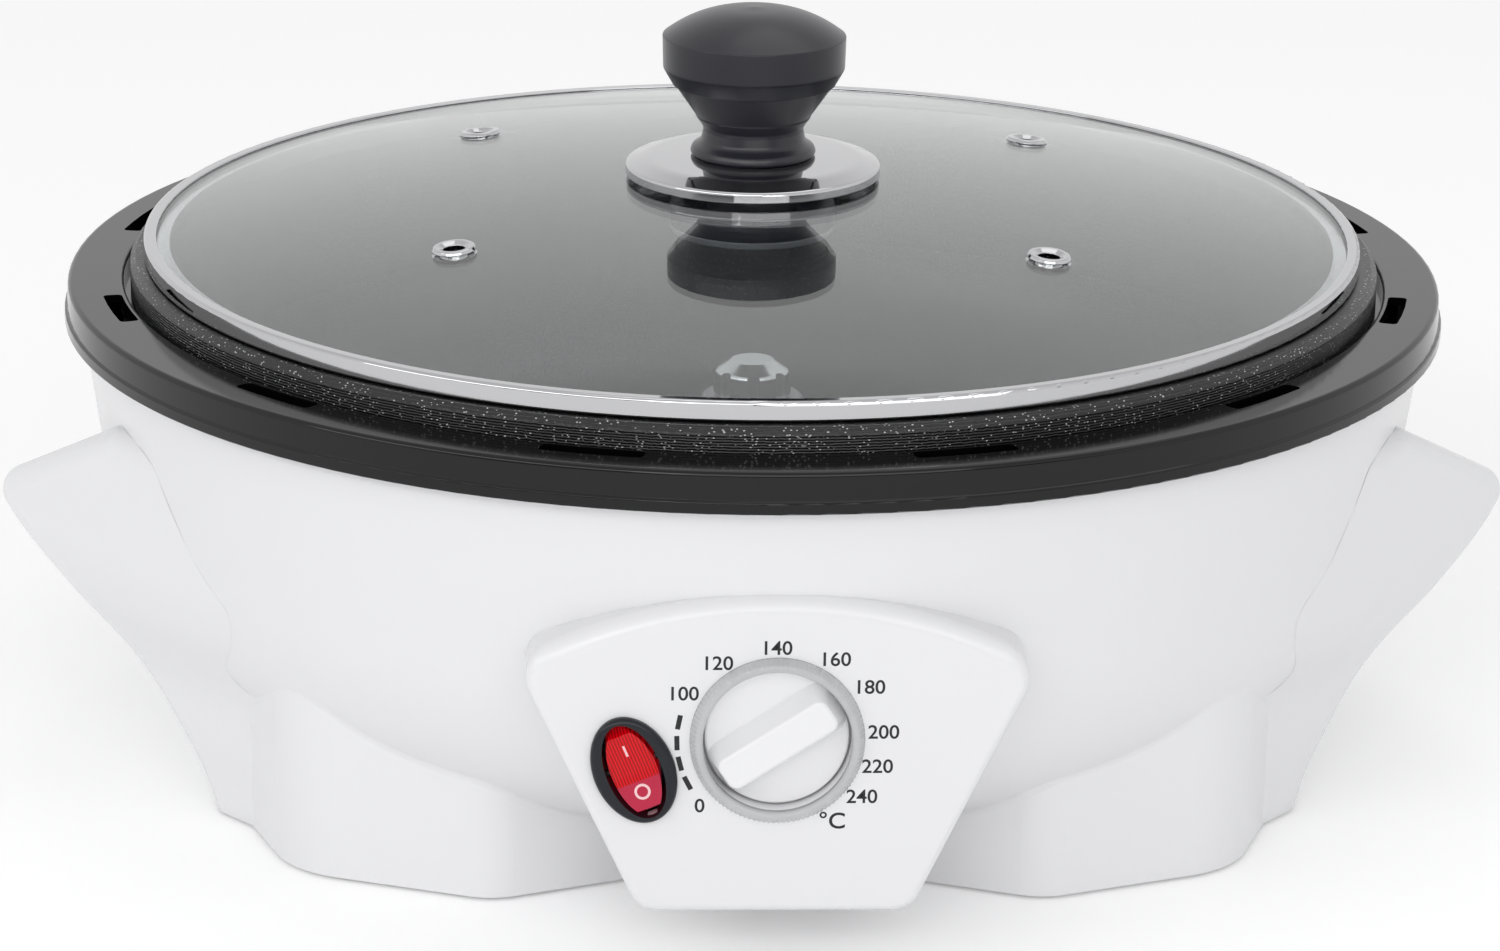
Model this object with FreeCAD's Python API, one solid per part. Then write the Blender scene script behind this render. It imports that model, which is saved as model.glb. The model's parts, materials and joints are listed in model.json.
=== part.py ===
"""Home coffee bean roaster: round housing, cast roasting pan with a stirrer, and a lift-off glass lid.

Millimetres. The pan's axis is Z, the front panel faces -Y and the feet stand on z = 0.
Every function builds one node; write_parts() saves each of them as its own STEP file.
"""
import FreeCAD
import Part

import math
import os

V = FreeCAD.Vector
Z_AXIS = V(0, 0, 1)
Y_AXIS = V(0, 1, 0)
X_AXIS = V(1, 0, 0)
ORIGIN = V(0, 0, 0)
FAR = 400.0                      # longer than any cut needs to be

# ---------------------------------------------------------------- clearances
seat_gap = 0.3                   # between a loose piece and what it rests on
side_gap = 0.5                   # between a piece and the wall beside it
running_gap = 0.05               # radial, shaft in bush

# ---------------------------------------------------------------- housing
ring_bottom = 105.0              # height of the black ring's lower edge
bowl_radius = 161.0              # housing radius at ring_bottom
bowl_slope = math.tan(math.radians(7.83))
bowl_bottom = 13.1               # where the bowl's curve would run level
bowl_round = 54.3                # radius of the bowl's lower curve
shell_wall = 2.5
shell_rim_height = 4.0           # how far the housing reaches up inside the ring
foot_lift = 0.8                  # housing edge above the table
foot_side_x = 62.0               # the foot's outline is symmetric about both axes and diagonals:
foot_side_y = 124.5              # its side corners,
foot_corner = 107.5              # its diagonal corners,
foot_dip = 100.0                 # and the hollows between its lobes
foot_side_round = 14.0
foot_corner_round = 24.0
foot_dip_round = 60.0
crease_round = 2.5

# ---------------------------------------------------------------- ring
ring_radius = 165.0
ring_height = 9.3
ring_wall = 1.9
ring_inner = 150.9               # inner edge around the pan
ring_ledge = 145.3               # inner edge of the ledge that carries the pan
ledge_drop = 3.3                 # ledge top below the ring's top face
ledge_wall = 1.6
slot_count = 12
slot_length = 23.0
slot_depth = 4.4                 # radial width of a slot
slot_start = 1.3                 # wall between the ring's inner edge and a slot
ring_boss_count = 4
ring_boss_radius = 2.6
ring_boss_inset = 3.3            # boss centres outside the ring's inner edge
ring_boss_length = 14.4

# ---------------------------------------------------------------- pan
pan_gap = 1.6                    # between the pan's rim and the ring
rim_height = 8.3                 # rim above the ring's ledge
rim_bevel = 1.4
pan_mouth = 141.0                # inner radius at the top
pan_floor = 50.0
pan_floor_radius = 126.5         # where wall and floor would meet inside
pan_round = 42.0
pan_wall = 2.6
pan_base = 3.2
hub_height = 20.0                # cast hub above the pan floor
hub_base_radius = 13.0
hub_top_radius = 9.5
hub_skirt = 8.0                  # hub below the pan
post_circle = 50.0               # posts under the pan that carry the shield
post_radius = 5.0
post_count = 4

# ---------------------------------------------------------------- heater and shield
element_circle = 75.0
element_radius = 4.0
element_gap_angle = 40.0         # opening of the ring at the back
element_pin = 17.0               # cold pin length
element_bend = 8.0               # bend from the ring down to a pin
clip_count = 3
clip_wall = 0.8
clip_width = 10.0
clip_foot = 6.0
fuse_turn = 60.0                 # the fuse lies between two of the clips
shield_drop = 10.8               # shield below the pan
shield_wall = 0.8
shield_flat = 98.0
shield_radius = 118.0
shield_rise = 11.0
shield_hole = 17.0

# ---------------------------------------------------------------- motor
bracket_wall = 1.5
bracket_half = 43.0
bracket_flange = 6.0
motor_radius = 30.0
gearbox_height = 13.0
motor_can_radius = 26.0
motor_can_height = 11.0
motor_offset = 10.0              # output shaft off the gearbox centre
motor_ear = 39.0                 # screw distance from the gearbox centre
shaft_radius = 4.0
shaft_socket = 11.0              # shaft length inside the gearbox
bush_radius = 6.0
bush_flange = 8.5
bush_flange_wall = 1.2

# ---------------------------------------------------------------- stirrer
stirrer_lift = 1.2               # above the pan floor
stirrer_hub_radius = 16.0
stirrer_hub_top = 12.5
stirrer_hub_height = 29.0
hub_clear = 0.9                  # around the cast hub
arm_height = 7.0
arm_width = 5.0
arm_clear = 2.0                  # arm to pan
arm_tops = (88.0, 74.0)          # height reached by the two arms
blade_wall = 1.2
blade_depth = 13.0
blade_clear = 1.0
blade_start = 32.0
rivet_radius = 1.6
nut_radius = 9.5
nut_height = 9.0
nut_flutes = 8

# ---------------------------------------------------------------- lid
lid_turn = -2.3                  # the loose lid lies turned
lid_shift = -0.5                 # and pushed a little to the left
band_radius = 145.5
band_height = 4.5
band_wall = 0.5
band_lip = 3.0
band_skirt = 138.8
band_skirt_depth = 4.0
glass_wall = 3.0
glass_radius = 144.6
glass_rise = 13.5
glass_edge_drop = 0.9            # glass top below the band's top at the edge
vent_x = 68.4
vent_y = 54.6
vent_radius = 5.25
vent_bore = 2.5
vent_neck = 3.6
vent_flange = 1.0
disc_radius = 30.5
disc_wall = 0.9
disc_stand = 4.9                 # disc top above the glass
disc_drop = 2.0                  # rim below the disc's top
disc_rim = 2.6
spacer_radius = 11.0
knob_collar = 15.1
knob_neck = 11.9
knob_cone_low = 13.8
knob_cone_high = 19.0
knob_radius = 21.9
knob_height = 35.9
knob_dome = 7.0
cap_top_radius = 15.6
cap_radius = 20.0
cap_height = 10.8
cap_straight = 4.4
washer_height = 1.8
lid_screw_radius = 2.5

# ---------------------------------------------------------------- control panel
panel_face = 161.0               # distance of the panel face from the axis
panel_wall = 2.4
panel_bottom = 13.0
panel_top = 85.2
panel_arch = 115.0               # radius of the arched top edge
panel_shoulder = 56.6            # half width where arch and sides would meet
panel_shoulder_height = 70.4
panel_foot = 29.6                # half width where sides and bottom would meet
panel_corner = 8.5
panel_foot_corner = 6.5
panel_top_round = 4.0
panel_edge_round = 1.7
dial_height = 52.9
dial_radius = 15.6
dial_recess = 2.6                # dial disc behind the panel face
dial_wall = 2.0
dial_cup_wall = 2.0
grip_length = 30.4
grip_width = 12.0
grip_height = 6.2
dial_rest_angle = 33.5           # pointer above the horizontal, at the 180 mark
bezel_radius = 18.9
bezel_inner = 16.1
bezel_height = 2.4
thermostat_size = 27.0
thermostat_depth = 17.0
thermostat_shaft_radius = 3.0
shaft_entry = 6.0                # shaft length inside the thermostat
switch_x = -30.8
switch_height = 46.3
switch_lean = 22.0               # degrees, top towards the left
switch_long = 12.5
switch_short = 8.8
switch_flange = 1.9
switch_body_long = 22.4
switch_body_short = 13.0
switch_body_depth = 20.0
rocker_long = 10.3
rocker_short = 5.0
rocker_throw = 8.0               # degrees each way
rocker_pivot_depth = 3.5
rocker_pin = 0.9
rocker_end_gap = 0.9
rocker_side_gap = 1.0
rocker_crown = 1.9
rocker_valley = 0.7

# ---------------------------------------------------------------- side grips
grip_foot_x = 126.2              # front outer edge where it meets the table
grip_flare = 0.193               # the edge runs outwards with a power of the height
grip_flare_power = 1.345
grip_foot_distance = 141.0       # lower front face from the axis
grip_face_distance = 154.3       # upper front face from the axis
grip_face_inside = 0.4           # least depth of the face's plane inside the bowl
grip_face_angle = math.radians(42.0)    # direction of its normal from +X
grip_turn_low = 26.0             # heights between which it moves outwards
grip_turn_high = 58.0
grip_tip_height = 62.0           # above this the outer face stands up steeper
grip_section_step = 6.5          # between the plan sections that shape the grip
grip_sections = 16
grip_top_x = 151.2               # a point of the sloping top face at the front edge
grip_top_y = 61.5
grip_top_z = 92.0
grip_top_out = 0.285             # slope of the top face outwards
grip_top_back = 0.39             # and towards the back
grip_root_top = 91.8             # height of its level part beside the housing
grip_bulge = 4.0                 # outer face stands this far out at its middle
grip_wall = 2.4
grip_edge_round = 6.0
grip_root_x = 100.0              # inner corner, inside the housing
grip_root_y = 58.0
grip_inner_x = 113.0             # where the front face ends inside the housing
grip_screws_at = ((-40.0, 66.0), (-30.0, 42.0), (22.0, 40.0))

# ---------------------------------------------------------------- underside
plate_wall = 1.2
plate_height = 3.0
plate_boss_circle = 134.0
plate_boss_radius = 4.5
plate_boss_height = 16.0
rubber_circle = 108.0
rubber_radius = 9.0
rubber_plug = 3.5
vent_row_radii = (50.0, 62.0, 74.0, 86.0)
terminal_circle = 78.0           # centre of the terminal strip
gland_height = 34.0
gland_bore = 3.6
gland_neck = 6.2
gland_boss = 9.5
gland_face = 148.0
gland_flange = 2.2
gland_boss_depth = 20.0
screw_radius = 1.6
screw_head_radius = 3.4
screw_head = 1.8
ring_screw_head = 2.7            # narrow heads beside the housing's wall
screw_grip = 7.0                 # length of a side screw inside the piece it holds
pad_radius = 4.6

# ---------------------------------------------------------------- heights worked out from the above
shell_rim = ring_bottom + shell_rim_height
ring_top = ring_bottom + ring_height
ledge_top = ring_top - ledge_drop
rim_top = ledge_top + rim_height
rim_radius = ring_inner - pan_gap
pan_under = pan_floor - pan_base
hub_top = pan_floor + hub_height
element_height = pan_under - element_radius
shield_top = pan_under - shield_drop
shield_under = shield_top - shield_wall
bracket_under = shield_under - bracket_wall
bush_top = hub_top + bush_flange_wall
band_bottom = rim_top + seat_gap
band_top = band_bottom + band_height
stirrer_bottom = pan_floor + stirrer_lift
stirrer_top = stirrer_bottom + stirrer_hub_height
glass_edge = band_top - glass_edge_drop
glass_sphere = (glass_radius ** 2 + glass_rise ** 2) / (2 * glass_rise)
glass_centre = glass_edge + glass_rise - glass_sphere
glass_apex = glass_edge + glass_rise
disc_top = glass_apex + disc_stand
knob_bottom = disc_top
plate_top = plate_height + plate_wall
panel_inner = panel_face - panel_wall
pan_slope = (pan_mouth - pan_floor_radius) / (rim_top - pan_floor)


# ---------------------------------------------------------------- outline helpers
def corner_arc(before, corner, after, radius):
    """Start, middle and end of the arc that rounds one corner of a flat outline."""
    ax, ay = before[0] - corner[0], before[1] - corner[1]
    bx, by = after[0] - corner[0], after[1] - corner[1]
    la, lb = math.hypot(ax, ay), math.hypot(bx, by)
    ax, ay, bx, by = ax / la, ay / la, bx / lb, by / lb
    half = math.acos(max(-1.0, min(1.0, ax * bx + ay * by))) / 2
    reach = radius / math.tan(half)
    mx, my = ax + bx, ay + by
    lm = math.hypot(mx, my)
    depth = radius / math.sin(half) - radius
    start = (corner[0] + ax * reach, corner[1] + ay * reach)
    end = (corner[0] + bx * reach, corner[1] + by * reach)
    middle = (corner[0] + mx / lm * depth, corner[1] + my / lm * depth)
    return start, middle, end


def rounded_wire(corners, place):
    """Closed wire through (u, v) or (u, v, radius) corners; place turns (u, v) into a point."""
    count = len(corners)
    spans = []
    for i, corner in enumerate(corners):
        if len(corner) == 3 and corner[2] > 0:
            spans.append(corner_arc(corners[i - 1], corner, corners[(i + 1) % count], corner[2]))
        else:
            spans.append((corner[:2], None, corner[:2]))
    edges = []
    for i, (start, middle, end) in enumerate(spans):
        if middle is not None:
            edges.append(Part.Arc(place(*start), place(*middle), place(*end)).toShape())
        following = spans[(i + 1) % count][0]
        if math.hypot(following[0] - end[0], following[1] - end[1]) > 1e-6:
            edges.append(Part.LineSegment(place(*end), place(*following)).toShape())
    return Part.Wire(edges)


def side_point(u, v):
    """Profile plane: u is the radius (X), v the height (Z)."""
    return V(u, 0, v)


def turned(corners, angle=360.0):
    """Solid of revolution about Z from a rounded (radius, height) outline."""
    return Part.Face(rounded_wire(corners, side_point)).revolve(ORIGIN, Z_AXIS, angle)


def slab(corners, bottom, top):
    """Flat plate between two heights from a rounded (x, y) outline."""
    wire = rounded_wire(corners, lambda u, v: V(u, v, bottom))
    return Part.Face(wire).extrude(V(0, 0, top - bottom))


def front_slab(corners, back, front):
    """Plate parallel to the panel from a rounded (x, z) outline; distances are towards the front."""
    wire = rounded_wire(corners, lambda u, v: V(u, -back, v))
    return Part.Face(wire).extrude(V(0, back - front, 0))


def disc(radius, bottom, top, x=0.0, y=0.0):
    """Upright cylinder."""
    return Part.makeCylinder(radius, top - bottom, V(x, y, bottom))


def tube(outer, inner, bottom, top):
    """Upright tube about the axis."""
    return disc(outer, bottom, top).cut(disc(inner, bottom - 1, top + 1))


def front_disc(radius, back, front, x=0.0, z=0.0):
    """Cylinder along the panel's normal, from one distance to a greater one."""
    return Part.makeCylinder(radius, front - back, V(x, -back, z), V(0, -1, 0))


def rectangle(half_x, half_y, corner=0.0, x=0.0, y=0.0):
    """Corners of a rectangle for rounded_wire."""
    return [(x - half_x, y - half_y, corner), (x + half_x, y - half_y, corner),
            (x + half_x, y + half_y, corner), (x - half_x, y + half_y, corner)]


def polar(angle, radius):
    """Plan position at an angle in degrees from +X."""
    return radius * math.cos(math.radians(angle)), radius * math.sin(math.radians(angle))


def spun(shape, angle, centre=ORIGIN, axis=Z_AXIS):
    """Copy of a shape turned about an axis."""
    copy = shape.copy()
    copy.rotate(centre, axis, angle)
    return copy


def around(shape, count, start=0.0):
    """Evenly spaced copies about Z."""
    return [spun(shape, start + 360.0 * i / count) for i in range(count)]


def moved(shape, x, y, z):
    """Copy of a shape moved by a vector."""
    copy = shape.copy()
    copy.translate(V(x, y, z))
    return copy


def joined(shapes):
    """One solid from overlapping shapes."""
    return shapes[0].multiFuse(shapes[1:]).removeSplitter()


def group(shapes):
    """Separate solids in one node."""
    return Part.makeCompound([solid for shape in shapes for solid in shape.Solids])


def screw(x, y, seat, length, radius=screw_radius, head=screw_head_radius):
    """Pan-head screw driven upwards: its head hangs below the seat."""
    shank = disc(radius, seat, seat + length, x, y)
    cap = disc(head, seat - screw_head, seat, x, y)
    edges = [e for e in cap.Edges if abs(e.BoundBox.ZMax - (seat - screw_head)) < 1e-6]
    cap = cap.makeFillet(screw_head * 0.45, edges[:1])
    cross = Part.makeBox(head, 0.9, 0.9, V(x - head / 2, y - 0.45, seat - screw_head))
    turned_cross = spun(cross, 90.0, V(x, y, 0))
    return joined([shank, cap]).cut(cross).cut(turned_cross)


def side_screw(position, direction, length):
    """Pan-head screw whose shank points along a direction from its seat."""
    upright = screw(0, 0, 0, length)
    turn = FreeCAD.Rotation(Z_AXIS, direction)
    upright.Placement = FreeCAD.Placement(position, turn)
    return upright


# ---------------------------------------------------------------- housing
def bowl_wall(height, inset=0.0):
    """Radius of the housing's straight upper wall at a height."""
    return bowl_radius - (ring_bottom - height) * bowl_slope - inset


def bowl_solid(inset=0.0, top=None):
    """Solid bowl, shrunk by inset."""
    top = shell_rim if top is None else top
    low = bowl_bottom + inset
    return turned([(0, low), (bowl_wall(low, inset), low, bowl_round - inset),
                   (bowl_wall(top, inset), top), (0, top)])


def foot_corners():
    """Four-lobed outline of the foot."""
    corners = []
    for quarter in range(4):
        for x, y, corner in ((foot_dip, 0.0, foot_dip_round),
                             (foot_side_y, foot_side_x, foot_side_round),
                             (foot_corner, foot_corner, foot_corner_round),
                             (foot_side_x, foot_side_y, foot_side_round)):
            for _ in range(quarter):
                x, y = -y, x
            corners.append((x, y, corner))
    return corners


def foot_solid(inset, bottom, top):
    """Upright prism of the foot outline, shrunk by inset."""
    wire = rounded_wire(foot_corners(), lambda u, v: V(u, v, bottom))
    if inset:
        wire = wire.makeOffset2D(-inset)
    return Part.Face(wire).extrude(V(0, 0, top - bottom))


def foot_top():
    """Height at which the foot's prism lies inside the bowl."""
    return bowl_bottom + bowl_round * 0.8


def housing_solid(inset=0.0, bottom=None):
    """Bowl and foot as one solid body."""
    bottom = foot_lift if bottom is None else bottom
    foot = foot_solid(inset, bottom, foot_top())
    return joined([bowl_solid(inset), foot])


def outer_form(bottom):
    """Housing's outer form, with the crease between bowl and foot rounded."""
    outer = housing_solid(0.0, bottom)
    crease = [e for e in outer.Edges
              if foot_lift + 2 < e.BoundBox.ZMin and e.BoundBox.ZMax < foot_top()]
    return outer.makeFillet(crease_round, crease)


def window_cut():
    """Opening behind the control panel for the thermostat and the switch."""
    left = switch_x - switch_long - 0.4
    right = thermostat_size / 2 + 6.0
    low = switch_height - switch_body_long / 2 - 5.0
    high = dial_height + thermostat_size / 2 + 2.5
    corners = [(left, low, 3.0), (right, low, 3.0), (right, high, 3.0), (left, high, 3.0)]
    return front_slab(corners, panel_face - 60.0, panel_face)


def panel_screw_places():
    """Plan x and height of the screws that hold the panel."""
    return [(-24.0, 21.0), (24.0, 21.0), (-47.8, 66.5), (47.8, 66.5)]


def grip_screw_places():
    """Side, distance along the side and height of the screws that hold the grips."""
    return [(side, y, z) for side in (-1, 1) for y, z in grip_screws_at]


def wall_reach(offset, height, inset=0.0):
    """Distance to the housing's surface, measured square to X or Y, at an offset and height."""
    if height >= bowl_bottom + bowl_round * (1 - math.sin(math.atan(bowl_slope))):
        radius = bowl_wall(height, inset)
    else:
        centre = bowl_wall(bowl_bottom) - bowl_round / math.tan(
            (math.pi / 2 + math.atan(bowl_slope)) / 2)
        drop = bowl_bottom + bowl_round - height
        radius = centre + math.sqrt(max((bowl_round - inset) ** 2 - drop ** 2, 0.0))
    return math.sqrt(radius ** 2 - offset ** 2)


def screw_seat(offset, height):
    """Distance of the flat pad inside the housing's wall under a side screw's head."""
    return wall_reach(abs(offset) + pad_radius, height - pad_radius, shell_wall)


def screw_pads():
    """Pads for the heads of the screws that hold the panel and the grips."""
    pads = []
    for x, z in panel_screw_places():
        pads.append(front_disc(pad_radius, screw_seat(x, z), wall_reach(x, z), x, z))
    for side, y, z in grip_screw_places():
        seat = screw_seat(y, z)
        pads.append(Part.makeCylinder(pad_radius, wall_reach(y, z) - seat, V(side * seat, y, z),
                                      V(side, 0, 0)))
    return pads


def base_shell():
    """Moulded housing: bowl wall, lobed foot, bosses, panel window and cord hole."""
    shell = outer_form(foot_lift).cut(joined([bowl_solid(shell_wall, shell_rim + 1),
                                          foot_solid(shell_wall, foot_lift - 1, foot_top())]))
    extras = []
    for k in range(4):
        angle = 45.0 + 90.0 * k
        x, y = polar(angle, plate_boss_circle)
        boss = disc(plate_boss_radius, plate_top, plate_top + plate_boss_height, x, y)
        rib = Part.makeBox(20.0, 2.0, plate_boss_height, V(plate_boss_circle, -1.0, plate_top))
        extras += [boss, spun(rib, angle)]
    for k in range(ring_boss_count):
        angle = 360.0 * k / ring_boss_count
        x, y = polar(angle, ring_boss_circle())
        low = ring_top - ring_wall - ring_boss_length
        lug = disc(ring_boss_radius + 2.4, low - 3.2, low, x, y)
        extras.append(lug)
    extras += screw_pads()
    boss = Part.makeCylinder(gland_boss, gland_boss_depth,
                             V(0, gland_face - gland_boss_depth, gland_height), Y_AXIS)
    extras.append(boss)
    shell = shell.multiFuse([e.common(housing_envelope()) for e in extras[:-1]] + [extras[-1]])
    cuts = [window_cut()]
    for k in range(4):
        x, y = polar(45.0 + 90.0 * k, plate_boss_circle)
        cuts.append(disc(screw_radius, plate_top - 1, plate_top + 12.0, x, y))
    for k in range(ring_boss_count):
        x, y = polar(360.0 * k / ring_boss_count, ring_boss_circle())
        low = ring_top - ring_wall - ring_boss_length
        cuts.append(disc(screw_radius + 0.2, low - 6.0, low + 1, x, y))
    cuts.append(Part.makeCylinder(gland_neck + seat_gap, 60.0,
                                  V(0, gland_face - 50.0, gland_height), Y_AXIS))
    cuts.append(Part.makeCylinder(gland_boss, gland_boss_depth,
                                  V(0, gland_face, gland_height), Y_AXIS))
    for x, z in panel_screw_places():
        cuts.append(front_disc(screw_radius + 0.2, panel_face - 60.0, panel_face, x, z))
    for side, y, z in grip_screw_places():
        cuts.append(Part.makeCylinder(screw_radius + 0.2, 40.0, V(side * 135.0, y, z),
                                      V(side, 0, 0)))
    shell = shell.cut(Part.makeCompound(cuts))
    return shell.removeSplitter()


def housing_envelope():
    """Space inside the middle of the housing's wall, which trims ribs and lugs."""
    return joined([bowl_solid(shell_wall / 2, shell_rim),
                   foot_solid(shell_wall / 2, foot_lift, foot_top())])


# ---------------------------------------------------------------- side grips
def grip_edge(height):
    """Plan x of the grip's outer edge at a height, and its face's distance from the axis."""
    rise = height if height < grip_tip_height else 0.4 * grip_tip_height + 0.6 * height
    x = grip_foot_x + grip_flare * rise ** grip_flare_power
    share = (height - grip_turn_low) / (grip_turn_high - grip_turn_low)
    share = max(0.0, min(1.0, share))
    share = share * share * (3 - 2 * share)
    reach = grip_foot_distance + share * (grip_face_distance - grip_foot_distance)
    if height > (grip_turn_low + grip_turn_high) / 2:
        reach = min(reach, wall_reach(0.0, height) - grip_face_inside)
    return x, reach


def grip_wire(height, inset):
    """Plan section of a grip: two slanting faces and a bulging outer face."""
    x, reach = grip_edge(height)
    c, s = math.cos(grip_face_angle), math.sin(grip_face_angle)
    reach -= inset
    edge = x - inset
    half = (reach - edge * c) / s
    inner = (reach - grip_inner_x * c) / s
    points = [V(grip_root_x, -grip_root_y, height), V(grip_inner_x, -inner, height),
              V(edge, -half, height), V(edge, half, height), V(grip_inner_x, inner, height),
              V(grip_root_x, grip_root_y, height)]
    edges = [Part.LineSegment(points[0], points[1]).toShape(),
             Part.LineSegment(points[1], points[2]).toShape(),
             Part.Arc(points[2], V(edge + grip_bulge, 0, height), points[3]).toShape(),
             Part.LineSegment(points[3], points[4]).toShape(),
             Part.LineSegment(points[4], points[5]).toShape(),
             Part.LineSegment(points[5], points[0]).toShape()]
    return Part.Wire(edges)


def grip_block(inset):
    """Closed right-hand grip, rounded along its outer edges, before the housing is cut out."""
    heights = [foot_lift + grip_section_step * k for k in range(grip_sections)]
    block = Part.makeLoft([grip_wire(z, inset) for z in heights], True, False)
    normal = V(grip_top_out, grip_top_back, 1.0)
    lid = Part.makeBox(FAR, FAR, FAR, V(-FAR / 2, -FAR / 2, 0))
    spot = V(grip_top_x, -grip_top_y, grip_top_z - inset * normal.Length)
    lid.Placement = FreeCAD.Placement(spot, FreeCAD.Rotation(Z_AXIS, normal))
    block = block.cut(lid)
    level = Part.makeBox(FAR, FAR, FAR, V(0, -FAR / 2, grip_root_top - inset))
    block = block.cut(level)
    edges = []
    for edge in block.Edges:
        middle = edge.valueAt((edge.FirstParameter + edge.LastParameter) / 2)
        box = edge.BoundBox
        outer = middle.x > grip_inner_x + 4.0 and abs(middle.y) < 90.0
        if outer and box.ZMax > foot_lift + 1.0 and box.ZMin < grip_top_z:
            edges.append(edge)
    return block.makeFillet(grip_edge_round - inset, edges)


def side_grip(side):
    """Hollow flared grip, with ribs and screw bosses, fitted round the housing."""
    solid = grip_block(0.0)
    hollow = grip_block(grip_wall)
    hollow = hollow.common(Part.makeBox(FAR, FAR, FAR, V(0, -FAR / 2, foot_lift + grip_wall)))
    places = [(y, z) for found, y, z in grip_screw_places() if found > 0]
    ribs = [Part.makeBox(100.0, 1.8, 100.0, V(grip_root_x, y - 0.9, 0)) for y in (-36.0, 0.0, 36.0)]
    bosses = [Part.makeCylinder(4.0, wall_reach(y, z) - 108.0, V(120.0, y, z), X_AXIS)
              for y, z in places]
    hollow = hollow.cut(Part.makeCompound(ribs)).cut(joined(bosses))
    grip = solid.cut(hollow).cut(outer_form(-1.0))
    holes = [Part.makeCylinder(screw_radius, 10.0, V(wall_reach(y, z) - 1.0, y, z), X_AXIS)
             for y, z in places]
    grip = grip.cut(Part.makeCompound(holes))
    grip = max(grip.Solids, key=lambda s: s.Volume)
    return grip if side > 0 else grip.mirror(ORIGIN, X_AXIS)


# ---------------------------------------------------------------- ring
def ring_boss_circle():
    """Radius on which the ring's screw bosses stand."""
    return ring_inner + ring_boss_inset


def top_ring():
    """Black ring: outer skirt, flat top with slots, locating rib and the ledge that carries the pan."""
    rib_out = bowl_wall(shell_rim, shell_wall) - side_gap
    rib_in = rib_out - 1.4
    under = ring_top - ring_wall
    skirt_in = ring_radius - 2.4
    skin = ring_inner + slot_start
    body = turned([
        (ring_radius, ring_bottom, 0.4), (ring_radius, ring_bottom + 2.6, 0.5),
        (ring_radius - 0.6, ring_bottom + 3.0, 0.2), (ring_radius - 0.9, ring_top, 1.2),
        (ring_inner, ring_top, 0.8), (ring_inner, ledge_top), (ring_ledge, ledge_top, 0.3),
        (ring_ledge, ledge_top - ledge_wall, 0.3), (skin, ledge_top - ledge_wall, 0.3),
        (skin, under), (rib_in, under), (rib_in, shell_rim - 2.6), (rib_out, shell_rim - 2.6),
        (rib_out, shell_rim), (skirt_in, shell_rim), (skirt_in, ring_bottom)])
    slot_mid = skin + slot_depth / 2
    half_angle = math.degrees(slot_length / 2 / slot_mid)
    sector = turned([(skin, under - 1), (skin + slot_depth, under - 1),
                     (skin + slot_depth, ring_top + 1), (skin, ring_top + 1)], 2 * half_angle)
    upright = [e for e in sector.Edges if e.BoundBox.ZLength > ring_wall]
    sector = sector.makeFillet(1.2, upright)
    slots = around(spun(sector, -half_angle), slot_count, 180.0 / slot_count)
    body = body.cut(Part.makeCompound(slots))
    bosses = []
    for k in range(ring_boss_count):
        x, y = polar(360.0 * k / ring_boss_count, ring_boss_circle())
        bosses.append(disc(ring_boss_radius, under - ring_boss_length, under, x, y)
                      .cut(disc(screw_radius, under - ring_boss_length - 1, under - 4.0, x, y)))
    return body.multiFuse(bosses).removeSplitter()


# ---------------------------------------------------------------- pan
def pan_corners(inset, top):
    """Rounded outline of the pan's inside, moved inwards by inset, from the axis to a height."""
    lean = math.sqrt(1 + pan_slope ** 2)
    floor = pan_floor + inset

    def wall(height):
        return pan_floor_radius + (height - pan_floor) * pan_slope - inset * lean

    return [(0, floor), (wall(floor), floor, pan_round - inset), (wall(top), top)]


def pan_inside(inset, top):
    """Solid that fills the pan up to a height."""
    return turned(pan_corners(inset, top) + [(0, top)])


def roasting_pan():
    """Cast pan: thick rim, sloping wall, hub for the shaft and four posts under the floor."""
    lean = math.sqrt(1 + pan_slope ** 2)
    foot_radius = pan_floor_radius - pan_base * pan_slope + pan_wall * lean
    shoulder = foot_radius + (ledge_top - pan_under) * pan_slope
    body = turned([
        (0, pan_under), (foot_radius, pan_under, pan_round + pan_wall), (shoulder, ledge_top),
        (rim_radius, ledge_top, 0.6), (rim_radius, rim_top - rim_bevel, 0.4),
        (rim_radius - rim_bevel, rim_top, 0.4), (0, rim_top)])
    body = body.cut(pan_inside(0.0, rim_top + 1))
    lip = turned([(pan_mouth - 2, rim_top - 0.7), (pan_mouth + 0.7, rim_top + 0.6),
                  (pan_mouth - 2, rim_top + 0.6)])
    body = body.cut(lip)
    hub = turned([(0, pan_under - hub_skirt), (hub_base_radius, pan_under - hub_skirt, 1.0),
                  (hub_base_radius + 1.5, pan_floor), (hub_top_radius, hub_top, 1.0), (0, hub_top)])
    posts = []
    for k in range(post_count):
        x, y = polar(45.0 + 360.0 * k / post_count, post_circle)
        posts.append(disc(post_radius, shield_top, pan_floor - 0.5, x, y))
    body = body.multiFuse([hub] + posts)
    holes = [disc(bush_radius, 0, FAR / 2)]
    for k in range(post_count):
        x, y = polar(45.0 + 360.0 * k / post_count, post_circle)
        holes.append(disc(screw_radius, shield_top - 1, shield_top + 9.0, x, y))
    return body.cut(Part.makeCompound(holes)).removeSplitter()


def shaft_bush():
    """Flanged bronze bush in the pan's hub."""
    bore = shaft_radius + running_gap
    return turned([(bore, pan_under - hub_skirt), (bush_radius, pan_under - hub_skirt),
                   (bush_radius, hub_top), (bush_flange, hub_top, 0.3), (bush_flange, bush_top, 0.3),
                   (bore, bush_top)])


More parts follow.
